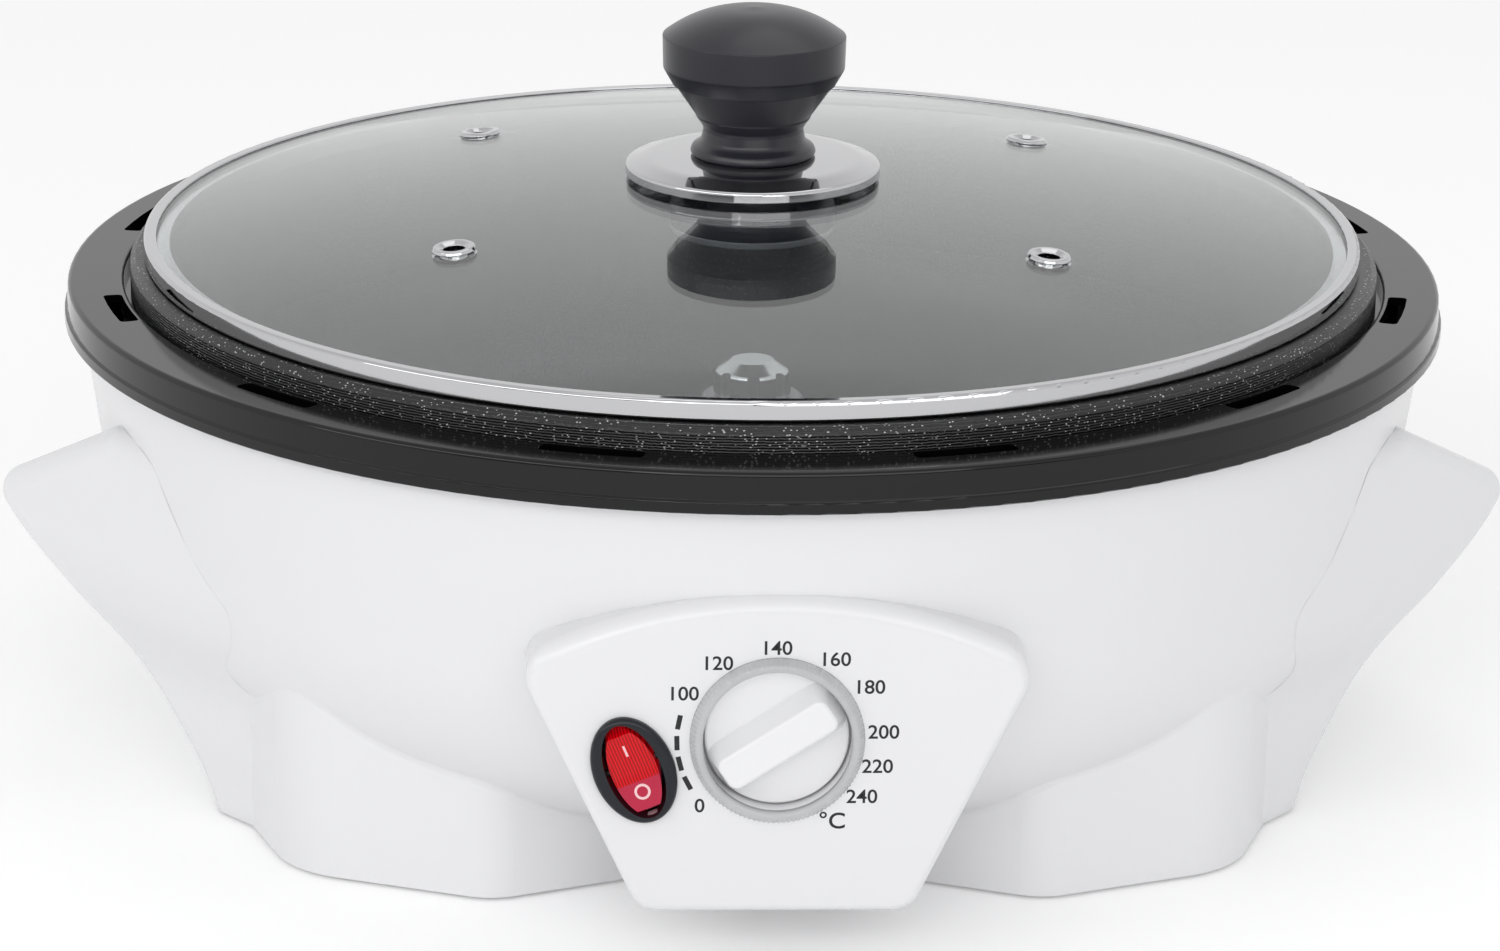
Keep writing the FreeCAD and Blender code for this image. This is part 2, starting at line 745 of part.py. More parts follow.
# ---------------------------------------------------------------- heater, shield and motor
def heating_element():
    """Tubular heater bent to a ring, with its two cold pins turned down through the shield."""
    low = element_height - element_pin
    turn = element_bend * (1 - math.sqrt(0.5))
    bend_low = element_height - element_bend
    bends = []
    for side in (-1, 1):
        (x, y), (dx, dy) = ring_end(side)
        bends.append([V(x + dx * reach, y + dy * reach, z) for reach, z in (
            (element_bend, low), (element_bend, bend_low),
            (element_bend - turn, element_height - turn), (0.0, element_height))])
    (low_a, side_a, middle_a, end_a), (low_b, side_b, middle_b, end_b) = bends
    path = Part.Wire([
        Part.LineSegment(low_a, side_a).toShape(), Part.Arc(side_a, middle_a, end_a).toShape(),
        Part.Arc(end_a, V(0, -element_circle, element_height), end_b).toShape(),
        Part.Arc(end_b, middle_b, side_b).toShape(), Part.LineSegment(side_b, low_b).toShape()])
    section = Part.Wire(Part.makeCircle(element_radius, low_a, Z_AXIS))
    tube_solid = path.makePipeShell([section], True, False)
    pins = [disc(1.6, low - 8.0, low + 1.0, spot.x, spot.y) for spot in (low_a, low_b)]
    return joined([tube_solid] + pins)


def ring_end(side):
    """Plan position of one end of the heater's ring, and its direction towards the other end."""
    angle = math.radians(90.0 + side * element_gap_angle / 2)
    spot = (element_circle * math.cos(angle), element_circle * math.sin(angle))
    return spot, (side * math.sin(angle), -side * math.cos(angle))


def pin_places():
    """Plan places of the heater's two cold pins."""
    return [(x + dx * element_bend, y + dy * element_bend)
            for (x, y), (dx, dy) in (ring_end(-1), ring_end(1))]


def element_clips():
    """Three spring clips that press the heater against the pan."""
    low = element_height - element_radius - clip_wall
    inner = element_radius + clip_wall
    left, right = element_circle - inner, element_circle + inner
    top = pan_under
    corners = [(left - clip_foot, top), (left - clip_foot, top - clip_wall),
               (left, top - clip_wall, 0.6), (left, low, inner - 0.1), (right, low, inner - 0.1),
               (right, top - clip_wall, 0.6), (right + clip_foot, top - clip_wall),
               (right + clip_foot, top)]
    profile = Part.Face(rounded_wire(corners, lambda u, v: V(u, -clip_width / 2, v)))
    clip = profile.extrude(V(0, clip_width, 0))
    bore = turned([(element_circle - element_radius, element_height - element_radius,
                    element_radius - 0.01),
                   (element_circle + element_radius, element_height - element_radius,
                    element_radius - 0.01),
                   (element_circle + element_radius, pan_under + 1),
                   (element_circle - element_radius, pan_under + 1)])
    clip = clip.cut(bore)
    solids = []
    for copy in around(clip, clip_count, -90.0):
        solids += copy.Solids
    return Part.makeCompound(solids)


def heat_shield():
    """Thin pressed dish under the heater, open round the hub and the cold pins."""
    dish = turned([
        (shield_hole, shield_under), (shield_flat, shield_under, 8.0),
        (shield_radius, shield_under + shield_rise), (shield_radius + 4.0, shield_under + shield_rise),
        (shield_radius + 4.0, shield_top + shield_rise), (shield_radius - 0.4, shield_top + shield_rise),
        (shield_flat - 0.2, shield_top, 8.0 - shield_wall), (shield_hole, shield_top)])
    cuts = []
    for k in range(post_count):
        x, y = polar(45.0 + 360.0 * k / post_count, post_circle)
        cuts.append(disc(screw_radius + 0.2, 0, FAR / 2, x, y))
    for x, y in pin_places():
        cuts.append(disc(element_radius + 1.2, 0, FAR / 2, x, y))
    return dish.cut(Part.makeCompound(cuts))


def motor_bracket():
    """Folded plate that hangs the motor under the shield."""
    plate = slab(rectangle(bracket_half, bracket_half, 5.0), bracket_under, shield_under)
    cheeks = [Part.makeBox(1.5, 60.0, bracket_flange + bracket_wall,
                           V(x, -30.0, bracket_under - bracket_flange))
              for x in (-bracket_half, bracket_half - 1.5)]
    body = joined([plate] + cheeks)
    cuts = [disc(shield_hole - 3.0, 0, FAR / 2)]
    for k in range(post_count):
        x, y = polar(45.0 + 360.0 * k / post_count, post_circle)
        cuts.append(disc(screw_radius + 0.2, 0, FAR / 2, x, y))
    for y in (-34.0, 34.0):
        cuts.append(slab(rectangle(14.0, 3.0, 2.9, 0.0, y), 0, FAR / 2))
    for x, y in motor_screw_places():
        cuts.append(disc(screw_radius, 0, FAR / 2, x, y))
    return body.cut(Part.makeCompound(cuts))


def motor_screw_places():
    """Plan places of the motor's two screws."""
    lean = math.radians(20.0)
    dx, dy = motor_ear * math.cos(lean) * 0.9, motor_ear * math.sin(lean) * 0.9
    return [(dx, motor_offset + dy), (-dx, motor_offset - dy)]


def gear_motor():
    """Flat synchronous motor under its gearbox, with two ears and a socket for the shaft."""
    gear_bottom = bracket_under - gearbox_height
    gearbox = disc(motor_radius, gear_bottom, bracket_under, 0, motor_offset)
    can = disc(motor_can_radius, gear_bottom - motor_can_height, gear_bottom, 0, motor_offset)
    can = can.makeFillet(2.0, [e for e in can.Edges
                               if e.BoundBox.ZMax < gear_bottom - motor_can_height + 0.1])
    pieces = [gearbox, can]
    for x, y in motor_screw_places():
        pieces.append(disc(4.5, bracket_under - 2.0, bracket_under, x, y))
        bridge = Part.makeBox(motor_ear * 0.9, 9.0, 2.0, V(0, motor_offset - 4.5, bracket_under - 2.0))
        angle = math.degrees(math.atan2(y - motor_offset, x))
        pieces.append(spun(bridge, angle, V(0, motor_offset, 0)))
    terminal = Part.makeBox(16.0, 9.0, 8.0, V(-8.0, motor_offset + motor_can_radius - 3.0,
                                              gear_bottom - 9.0))
    body = joined(pieces + [terminal])
    cuts = [disc(shaft_radius + running_gap, bracket_under - shaft_socket, bracket_under + 1)]
    for x, y in motor_screw_places():
        cuts.append(disc(screw_radius + 0.2, bracket_under - 3.0, bracket_under + 1, x, y))
    return body.cut(Part.makeCompound(cuts))


def motor_screws():
    """Two screws up through the motor's ears into the bracket."""
    return group([screw(x, y, bracket_under - 2.0, 2.0 + bracket_wall)
                  for x, y in motor_screw_places()])


def shield_screws():
    """Screws through bracket and shield into the pan's posts."""
    places = [polar(45.0 + 360.0 * k / post_count, post_circle) for k in range(post_count)]
    return group([screw(x, y, bracket_under, bracket_wall + shield_wall + 8.0) for x, y in places])


def thermal_fuse():
    """Ceramic fuse body with its leads, flat against the pan."""
    radius = 2.6
    z = pan_under - radius
    body = Part.makeCylinder(radius, 18.0, V(-9.0, -post_circle - 11.0, z), X_AXIS)
    leads = [Part.makeCylinder(0.6, 34.0, V(-17.0, -post_circle - 11.0, z), X_AXIS)]
    return spun(joined([body] + leads), fuse_turn)


def fuse_clip():
    """Sheet saddle that holds the fuse against the pan."""
    radius = 2.6
    y = -post_circle - 11.0
    low = pan_under - 2 * radius - clip_wall
    reach = radius + clip_wall
    corners = [(y - reach - 4.0, pan_under), (y - reach - 4.0, pan_under - clip_wall),
               (y - reach, pan_under - clip_wall), (y - reach, low, 2.0), (y + reach, low, 2.0),
               (y + reach, pan_under - clip_wall), (y + reach + 4.0, pan_under - clip_wall),
               (y + reach + 4.0, pan_under)]
    clip = Part.Face(rounded_wire(corners, lambda u, v: V(-4.0, u, v))).extrude(V(8.0, 0, 0))
    hollow = [(y - radius, pan_under + 1), (y - radius, pan_under - 2 * radius, radius - 0.6),
              (y + radius, pan_under - 2 * radius, radius - 0.6), (y + radius, pan_under + 1)]
    hollow = Part.Face(rounded_wire(hollow, lambda u, v: V(-5.0, u, v))).extrude(V(10, 0, 0))
    return spun(clip.cut(hollow), fuse_turn)


# ---------------------------------------------------------------- stirrer
def drive_shaft():
    """Steel shaft from the gearbox through the pan, with a threaded end under the nut."""
    bottom = bracket_under - shaft_socket + seat_gap
    shaft = disc(shaft_radius, bottom, stirrer_top - 2.0)
    thread = disc(shaft_radius - 1.0, stirrer_top - 3.0, stirrer_top + nut_height - 2.5)
    return joined([shaft, thread])


def hub_bell():
    """Outer form of the stirrer hub."""
    return turned([(0, stirrer_bottom), (stirrer_hub_radius, stirrer_bottom, 1.0),
                   (stirrer_hub_radius - 0.8, stirrer_bottom + 8.0, 6.0),
                   (stirrer_hub_top, stirrer_top, 2.0), (0, stirrer_top)])


def stirrer_hub():
    """Cast bell that covers the pan's hub and clamps on the shaft."""
    low = hub_base_radius + 1.5 + hub_clear
    high = hub_top_radius + hub_clear
    top = bush_top + hub_clear
    hollow = turned([(0, stirrer_bottom - 1), (low, stirrer_bottom - 1), (low, stirrer_bottom),
                     (high, hub_top), (high, top), (0, top)])
    bore = disc(shaft_radius, 0, stirrer_top - 2.0)
    thread = disc(shaft_radius - 1.0, 0, FAR / 2)
    return hub_bell().cut(hollow).cut(bore).cut(thread)


def pan_reach(height, inset):
    """Radius of the pan's inside, moved inwards by inset, at a height above its floor."""
    lean = math.sqrt(1 + pan_slope ** 2)
    centre_height = pan_floor + pan_round
    if height > centre_height - pan_round * pan_slope / lean:
        return pan_floor_radius + (height - pan_floor) * pan_slope - inset * lean
    centre = pan_floor_radius + pan_round * pan_slope - pan_round * lean
    return centre + math.sqrt((pan_round - inset) ** 2 - (centre_height - height) ** 2)


def pan_strip(clear, depth, top, start, back, front):
    """Upright strip along +X that follows the pan's inside, from a start radius to a height."""
    outer = pan_corners(clear, ring_top)
    inner = pan_corners(clear + depth, ring_top)
    corners = [(start, outer[0][1])] + outer[1:] + [inner[2], inner[1], (start, inner[0][1])]
    face = Part.Face(rounded_wire(corners, lambda u, v: V(u, back, v)))
    strip = face.extrude(V(0, front - back, 0))
    return strip.cut(Part.makeBox(FAR, FAR, FAR, V(-FAR / 2, -FAR / 2, top)))


def stirring_arm(top):
    """One cast arm lying along +X: it follows the floor and climbs the wall."""
    arm = pan_strip(arm_clear, arm_height, top, 0.0, -arm_width / 2, arm_width / 2)
    tip = [e for e in arm.Edges if e.BoundBox.ZMin > top - 0.1]
    arm = arm.makeFillet(arm_width * 0.25, tip)
    return arm.cut(hub_bell())


def stirring_arms():
    """The long and the short arm, opposite each other."""
    arms = [stirring_arm(arm_tops[0]), spun(stirring_arm(arm_tops[1]), 180.0)]
    return group([max(arm.Solids, key=lambda s: s.Volume) for arm in arms])


def rivet_places(top):
    """Profile positions of the rivets that hold a blade to its arm."""
    inset = arm_clear + arm_height / 2
    bend_height = pan_floor + pan_round * 0.36
    return [(blade_start + 8.0, pan_floor + inset), (pan_reach(bend_height, inset), bend_height),
            (pan_reach(top - 10.0, inset), top - 10.0)]


def scraper_blade(top):
    """Thin steel blade on the arm's leading face, nearer the pan than the arm."""
    place = arm_width / 2
    blade = pan_strip(blade_clear, blade_depth, top - 4.0, blade_start, place, place + blade_wall)
    holes = [Part.makeCylinder(rivet_radius, 10.0, V(x, place - 5.0, z), Y_AXIS)
             for x, z in rivet_places(top)]
    return blade.cut(Part.makeCompound(holes))


def scraper_blades():
    """Both blades."""
    return group([scraper_blade(arm_tops[0]), spun(scraper_blade(arm_tops[1]), 180.0)])


def blade_rivets():
    """Rivets through the blades, headed on their outer faces."""
    solids = []
    for top, turn in zip(arm_tops, (0.0, 180.0)):
        for x, z in rivet_places(top):
            place = arm_width / 2
            shank = Part.makeCylinder(rivet_radius, blade_wall, V(x, place, z), Y_AXIS)
            head = Part.makeCylinder(rivet_radius * 1.8, 1.0, V(x, place + blade_wall, z), Y_AXIS)
            rim = [e for e in head.Edges if e.BoundBox.YMin > place + blade_wall + 0.9]
            solids.append(spun(joined([shank, head.makeFillet(0.5, rim[:1])]), turn))
    return group(solids)


def hub_nut():
    """Fluted nut that a hand can loosen to lift the stirrer out."""
    nut = turned([(shaft_radius - 1.0, stirrer_top), (nut_radius, stirrer_top, 0.8),
                  (nut_radius, stirrer_top + nut_height * 0.7, 1.6),
                  (nut_radius * 0.55, stirrer_top + nut_height, 1.0), (0, stirrer_top + nut_height),
                  (0, stirrer_top + nut_height - 2.5),
                  (shaft_radius - 1.0, stirrer_top + nut_height - 2.5)])
    flute = disc(1.8, stirrer_top - 1, stirrer_top + nut_height + 1, nut_radius + 0.7)
    return nut.cut(Part.makeCompound(around(flute, nut_flutes)))


# ---------------------------------------------------------------- lid
def dome(offset, radius, bottom):
    """Part of the glass's sphere inside a radius and above a height."""
    ball = Part.makeSphere(glass_sphere + offset, V(0, 0, glass_centre))
    return ball.common(disc(radius, bottom, glass_apex + 20.0))


def vent_frames():
    """Placement of each vent, square to the domed glass."""
    frames = []
    for sx in (-1, 1):
        for sy in (-1, 1):
            x, y = sx * vent_x, sy * vent_y
            reach = math.hypot(x, y)
            rise = math.sqrt(glass_sphere ** 2 - reach ** 2)
            normal = V(x, y, rise).normalize()
            spot = V(0, 0, glass_centre) + normal * glass_sphere
            frames.append(FreeCAD.Placement(spot, FreeCAD.Rotation(Z_AXIS, normal)))
    return frames


def placed(shape, placement):
    """Copy of a shape put at a placement."""
    copy = shape.copy()
    copy.Placement = placement
    return copy


def lid_glass():
    """Domed toughened glass with the knob's hole and four vent holes."""
    outer = dome(0.0, glass_radius, glass_edge - 20.0)
    inner = dome(-glass_wall, glass_radius + 5.0, glass_edge - 40.0)
    glass = outer.cut(inner).common(disc(glass_radius, glass_edge - glass_wall, FAR / 2))
    cuts = [disc(lid_screw_radius + 1.0, glass_edge - 10.0, FAR / 2)]
    cuts += [placed(disc(vent_neck, -10.0, 10.0), frame) for frame in vent_frames()]
    return spun(glass.cut(Part.makeCompound(cuts)), lid_turn)


def lid_band():
    """Stainless band: a rolled channel round the glass and a skirt that drops inside the pan."""
    inner = band_radius - band_wall
    lip = band_radius - band_lip
    floor = band_bottom + band_wall
    skirt = band_bottom - band_skirt_depth
    outer = turned([
        (band_skirt, skirt, 0.2), (band_skirt, floor, 0.3), (inner, floor), (inner, band_top - 0.8),
        (lip, band_top - 0.8, 0.2), (lip, band_top, 0.35), (band_radius, band_top, 0.9),
        (band_radius, band_bottom, 0.5), (band_skirt + band_wall, band_bottom, 0.2),
        (band_skirt + band_wall, skirt, 0.2)])
    return outer.cut(dome(0.02, glass_radius, glass_edge - 20.0).common(
        disc(glass_radius, glass_edge - 0.3, FAR / 2)))


def vent_grommets():
    """Four stainless eyelets riveted through the glass."""
    under = -glass_wall
    eyelet = turned([
        (vent_bore, under - vent_flange, 0.3), (vent_radius, under - vent_flange, 0.4),
        (vent_radius, under - 0.02), (vent_neck, under - 0.02), (vent_neck, 0.02),
        (vent_radius, 0.02, 0.2), (vent_radius - 0.5, vent_flange, 0.5),
        (vent_bore + 1.2, vent_flange, 0.4), (vent_bore, vent_flange * 0.3, 0.3)])
    relief = placed(eyelet, FreeCAD.Placement())
    solids = []
    for frame in vent_frames():
        piece = placed(relief, frame)
        piece = piece.cut(dome(0.0, glass_radius, glass_edge - 20.0).cut(
            dome(-glass_wall, glass_radius, glass_edge - 20.0)).cut(
                placed(disc(vent_neck, -10.0, 10.0), frame)))
        solids.append(spun(piece, lid_turn))
    return group(solids)


def knob_disc():
    """Polished disc between the glass and the knob, turned down round its edge."""
    rim = disc_top - disc_drop
    bore = lid_screw_radius + 0.3
    flat = disc_radius - 5.0
    inner = disc_radius - disc_wall
    return turned([
        (bore, disc_top - disc_wall), (knob_collar, disc_top - disc_wall),
        (flat, disc_top - 0.4 - disc_wall, 9.0), (inner, rim, 0.4), (inner, rim - disc_rim),
        (disc_radius, rim - disc_rim, 0.4), (disc_radius, rim, 0.9), (flat, disc_top - 0.4, 10.0),
        (knob_collar, disc_top), (bore, disc_top)])


def disc_spacer():
    """Sleeve between the glass and the disc, hidden under the disc."""
    body = tube(spacer_radius, lid_screw_radius + 0.3, glass_apex - 1.0, disc_top - disc_wall)
    return body.cut(dome(0.0, 40.0, glass_edge - 20.0))


def lid_knob():
    """Moulded knob: collar, hollow neck, flared cone and a domed top with a crisp edge."""
    z = knob_bottom
    top = z + knob_height
    edge = top - knob_dome
    return turned([
        (lid_screw_radius, z), (knob_collar - 0.8, z, 0.4), (knob_collar, z + 0.9, 0.8),
        (knob_collar - 0.5, z + 2.2, 1.0), (knob_neck + 0.6, z + 3.6, 2.0), (knob_neck, z + 6.8, 1.4),
        (knob_cone_low - 0.7, z + 8.6, 0.8), (knob_cone_low - 0.1, z + 9.4),
        (knob_cone_low, z + 9.9, 0.2), (knob_cone_high, z + 17.4, 0.2),
        (knob_cone_high + 0.5, z + 17.5, 0.2), (knob_radius - 0.2, z + 21.4, 1.2),
        (knob_radius, edge + 0.2, 0.4), (knob_radius * 0.62, top - 0.9, 30.0), (0, top),
        (0, z + 16.0), (lid_screw_radius, z + 16.0)])


def lower_cap():
    """Cone-shaped cap that clamps the glass from below."""
    top = glass_apex - glass_wall
    cone = turned([
        (lid_screw_radius + 0.3, top - cap_height), (cap_radius, top - cap_height, 0.3),
        (cap_radius, top - cap_height + cap_straight, 2.0), (cap_top_radius, top, 0.4),
        (cap_top_radius, top + 1.0), (lid_screw_radius + 0.3, top + 1.0)])
    hollow = tube(cap_radius - 5.0, lid_screw_radius + 3.0, top - cap_height - 1.0, top - 5.0)
    return cone.cut(hollow).common(dome(-glass_wall, 40.0, glass_edge - 40.0))


def cap_washer():
    """Grey washer that closes the cap's underside."""
    top = glass_apex - glass_wall - cap_height
    return turned([(lid_screw_radius, top - washer_height), (cap_radius - 0.6, top - washer_height, 0.8),
                   (cap_radius, top, 0.2), (lid_screw_radius, top)])


def lid_screw():
    """Screw from below that clamps washer, cap, glass, disc and knob together."""
    seat = glass_apex - glass_wall - cap_height - washer_height
    return screw(0, 0, seat, knob_bottom + 13.0 - seat, lid_screw_radius, 5.0)


# ---------------------------------------------------------------- control panel
def panel_wire(inset, distance):
    """Fan-shaped outline with an arched top, shrunk by inset."""
    centre = panel_top - panel_arch
    arch = panel_arch - inset
    side = math.atan2(panel_shoulder - panel_foot, panel_shoulder_height - panel_bottom)
    shift = inset / math.cos(side)
    low = panel_bottom + inset

    def side_x(height):
        return panel_foot + (height - panel_bottom) * math.tan(side) - shift

    span = 1.0
    height = panel_shoulder_height
    for _ in range(40):
        span = math.asin(min(side_x(height) / arch, 1.0))
        height = centre + arch * math.cos(span)
    corner = (side_x(height), height)
    tangent = (corner[0] - math.cos(span) * 30.0, corner[1] + math.sin(span) * 30.0)
    radius = max(panel_corner - inset, 1.0)
    start, middle, end = corner_arc((side_x(low), low), corner, tangent, radius)
    end_angle = math.asin(end[0] / arch) * 0.995
    end = (arch * math.sin(end_angle), centre + arch * math.cos(end_angle))
    foot_radius = max(panel_foot_corner - inset, 1.0)
    foot = corner_arc((0.0, low), (side_x(low), low), corner, foot_radius)

    def place(u, v):
        return V(u, -distance, v)

    half = [Part.Arc(place(*foot[0]), place(*foot[1]), place(*foot[2])).toShape(),
            Part.LineSegment(place(*foot[2]), place(*start)).toShape(),
            Part.Arc(place(*start), place(*middle), place(*end)).toShape()]
    other = [Part.Arc(place(-a[0], a[1]), place(-b[0], b[1]), place(-c[0], c[1])).toShape()
             for a, b, c in ((end, middle, start), (foot[2], foot[1], foot[0]))]
    side_line = Part.LineSegment(place(-start[0], start[1]), place(-foot[2][0], foot[2][1])).toShape()
    top = Part.Arc(place(*end), place(0, centre + arch), place(-end[0], end[1])).toShape()
    bottom = Part.LineSegment(place(-foot[0][0], low), place(foot[0][0], low)).toShape()
    return Part.Wire(half + [top, other[0], side_line, other[1], bottom])


def panel_block(inset, front, back):
    """Solid behind the panel outline between two distances."""
    return Part.Face(panel_wire(inset, front)).extrude(V(0, front - back, 0))


def rounded_panel(block):
    """Front edge rounded: widest along the arch, narrow down the sides, blended at the corners."""
    radii = []
    for number, edge in enumerate(block.Edges, 1):
        box = edge.BoundBox
        if abs(box.YMin + panel_face) > 1e-6 or abs(box.YMax + panel_face) > 1e-6:
            continue
        start, end = (panel_edge_round if edge.valueAt(t).z < panel_shoulder_height - 2.0
                      else panel_top_round for t in (edge.FirstParameter, edge.LastParameter))
        radii.append((number, start, end))
    document = FreeCAD.newDocument()
    base = document.addObject("Part::Feature", "base")
    base.Shape = block
    rounding = document.addObject("Part::Fillet", "rounding")
    rounding.Base = base
    rounding.Edges = radii
    document.recompute()
    return rounding.Shape.copy()


def control_panel():
    """Moulded fan-shaped cover with the dial's cup, the switch hole and four screw bosses."""
    outer = rounded_panel(panel_block(0.0, panel_face, 95.0))
    inner = panel_block(panel_wall, panel_inner, 90.0)
    cup = front_disc(dial_radius + side_gap + dial_cup_wall, dial_back() - dial_cup_wall,
                     panel_face - 1.0, 0.0, dial_height)
    bosses = [front_disc(3.3, 90.0, panel_inner + 0.5, x, z) for x, z in panel_screw_places()]
    rib = Part.makeBox(44.0, 60.0, 1.8, V(-22.0, -panel_inner - 0.5, panel_bottom + 13.0))
    rib = rib.common(panel_block(0.5, panel_face, 95.0))
    inner = inner.cut(cup).cut(Part.makeCompound(bosses)).cut(rib)
    body = outer.cut(inner).cut(outer_form(-1.0))
    cuts = [front_disc(dial_radius + side_gap, dial_back(), panel_face + 1, 0.0, dial_height),
            front_disc(thermostat_shaft_radius + 1.5, 90.0, panel_face, 0.0, dial_height),
            switch_prism(switch_body_long, switch_body_short, 90.0, panel_face + 1)]
    cuts += [front_disc(screw_radius, 90.0, panel_inner - 2.0, x, z) for x, z in panel_screw_places()]
    body = body.cut(Part.makeCompound(cuts))
    return max(body.Solids, key=lambda s: s.Volume).removeSplitter()


def dial_back():
    """Distance of the cup's floor, behind the dial disc."""
    return panel_face - dial_recess - dial_wall - side_gap


def panel_screws():
    """Screws from inside the housing into the panel's bosses."""
    solids = []
    for x, z in panel_screw_places():
        seat = screw_seat(x, z)
        length = wall_reach(x, z) - seat + screw_grip
        solids.append(side_screw(V(x, -seat, z), V(0, -1, 0), length))
    return group(solids)


def dial_bezel():
    """Ribbed ring round the dial."""
    ring = turned([
        (bezel_inner, 0), (bezel_radius, 0, 0.2), (bezel_radius, 0.9, 0.4),
        (bezel_radius - 0.9, bezel_height, 0.6), (bezel_inner + 0.5, bezel_height, 0.3),
        (bezel_inner, bezel_height - 0.8)])
    ring = spun(ring, 90.0, ORIGIN, X_AXIS)
    return moved(ring, 0, -panel_face, dial_height)


def temperature_knob():
    """Dial disc with a wide grip bar across it, shown at its rest angle."""
    back = panel_face - dial_recess - dial_wall
    face = panel_face - dial_recess
    plate = front_disc(dial_radius, back, face, 0.0, 0.0)
    rim = [e for e in plate.Edges if abs(e.BoundBox.YMin + face) < 1e-6
           and abs(e.BoundBox.YMax + face) < 1e-6]
    plate = plate.makeFillet(0.6, rim[:1])
    half, wide = grip_length / 2, grip_width / 2
    foot = front_slab(rectangle(half, wide, 3.0), face - 0.5, face)
    bar_low = rounded_wire(rectangle(half, wide, 3.0), lambda u, v: V(u, -face, v))
    bar_high = rounded_wire(rectangle(half - 1.6, wide * 0.62, 2.2),
                            lambda u, v: V(u, -face - grip_height, v))
    bar = Part.makeLoft([bar_low, bar_high], True, True)
    top = [e for e in bar.Edges if abs(e.BoundBox.YMax + face + grip_height) < 1e-6]
    bar = bar.makeFillet(0.9, top)
    bar = joined([foot, bar]).common(front_disc(dial_radius, back, face + grip_height + 1))
    socket = front_disc(thermostat_shaft_radius + 2.0, dial_back() + 0.2, back, 0.0, 0.0)
    knob = joined([plate, bar, socket])
    knob = knob.cut(front_disc(thermostat_shaft_radius, 90.0, face + 1.5, 0.0, 0.0))
    knob = spun(knob, -dial_rest_angle, ORIGIN, Y_AXIS)
    return moved(knob, 0, 0, dial_height)


def thermostat_front():
    """Distance of the thermostat's mounting face."""
    return dial_back() - dial_cup_wall


def thermostat_shaft():
    """Shaft that the dial turns."""
    face = panel_face - dial_recess + 1.5
    back = thermostat_front() - shaft_entry
    return front_disc(thermostat_shaft_radius, back, face, 0.0, dial_height)


def thermostat():
    """Thermostat body behind the dial, with its bushing and terminals."""
    front = thermostat_front()
    half = thermostat_size / 2
    body = front_slab(rectangle(half, half, 3.0, 0.0, dial_height), front - thermostat_depth, front)
    tabs = [Part.makeBox(6.3, 7.0, 0.8, V(x, -(front - thermostat_depth), dial_height + z))
            for x in (-10.0, 3.5) for z in (-7.0, 6.0)]
    body = joined([body] + tabs)
    return body.cut(front_disc(thermostat_shaft_radius + running_gap,
                               front - shaft_entry - seat_gap, front + 1, 0.0, dial_height))


def pipe(points, radius, bend):
    """Round tube along straight runs joined by tangent arcs."""
    edges = []
    last = points[0]
    for i in range(1, len(points) - 1):
        before = (points[i - 1] - points[i]).normalize()
        after = (points[i + 1] - points[i]).normalize()
        half = before.getAngle(after) / 2
        reach = bend / math.tan(half)
        start, end = points[i] + before * reach, points[i] + after * reach
        middle = points[i] + (before + after).normalize() * (bend / math.sin(half) - bend)
        edges.append(Part.LineSegment(last, start).toShape())
        edges.append(Part.Arc(start, middle, end).toShape())
        last = end
    edges.append(Part.LineSegment(last, points[-1]).toShape())
    path = Part.Wire(edges)
    section = Part.Wire(Part.makeCircle(radius, points[0], points[1] - points[0]))
    return path.makePipeShell([section], True, False)


def sensing_bulb():
    """Copper bulb under the pan and its capillary to the thermostat."""
    radius = 2.4
    z = pan_under - radius
    y = -(element_circle + element_radius + radius + 2.6)
    bulb = Part.makeCylinder(radius, 36.0, V(14.0, y, z), X_AXIS)
    back = thermostat_front() - thermostat_depth
    rise = shield_top + shield_rise + 4.0
    capillary = pipe([V(16.0, y, z), V(9.5, y, z), V(0.0, y - 14.0, z), V(0.0, y - 38.0, rise),
                      V(0.0, -back, rise)], 0.8, 2.0)
    return joined([bulb, capillary])


# ---------------------------------------------------------------- rocker switch
def switch_frame():
    """Placement that maps (across, outwards, along) onto the leaning switch at the panel face."""
    turn = FreeCAD.Rotation(Y_AXIS, -switch_lean)
    return FreeCAD.Placement(V(switch_x, 0, switch_height), turn)


def switch_prism(long_size, short_size, back, front):
    """Rounded rectangular bar square to the panel in the switch's own lean."""
    bar = front_slab(rectangle(short_size / 2, long_size / 2, 2.5), back, front)
    return placed(bar, switch_frame())


def oval(long_half, short_half, back, front):
    """Elliptic bar square to the panel in the switch's own lean."""
    curve = Part.Ellipse(V(0, 0, long_half), V(short_half, 0, 0), V(0, 0, 0))
    wire = Part.Wire(curve.toShape())
    wire.translate(V(0, -back, 0))
    bar = Part.Face(wire).extrude(V(0, back - front, 0))
    return placed(bar, switch_frame())


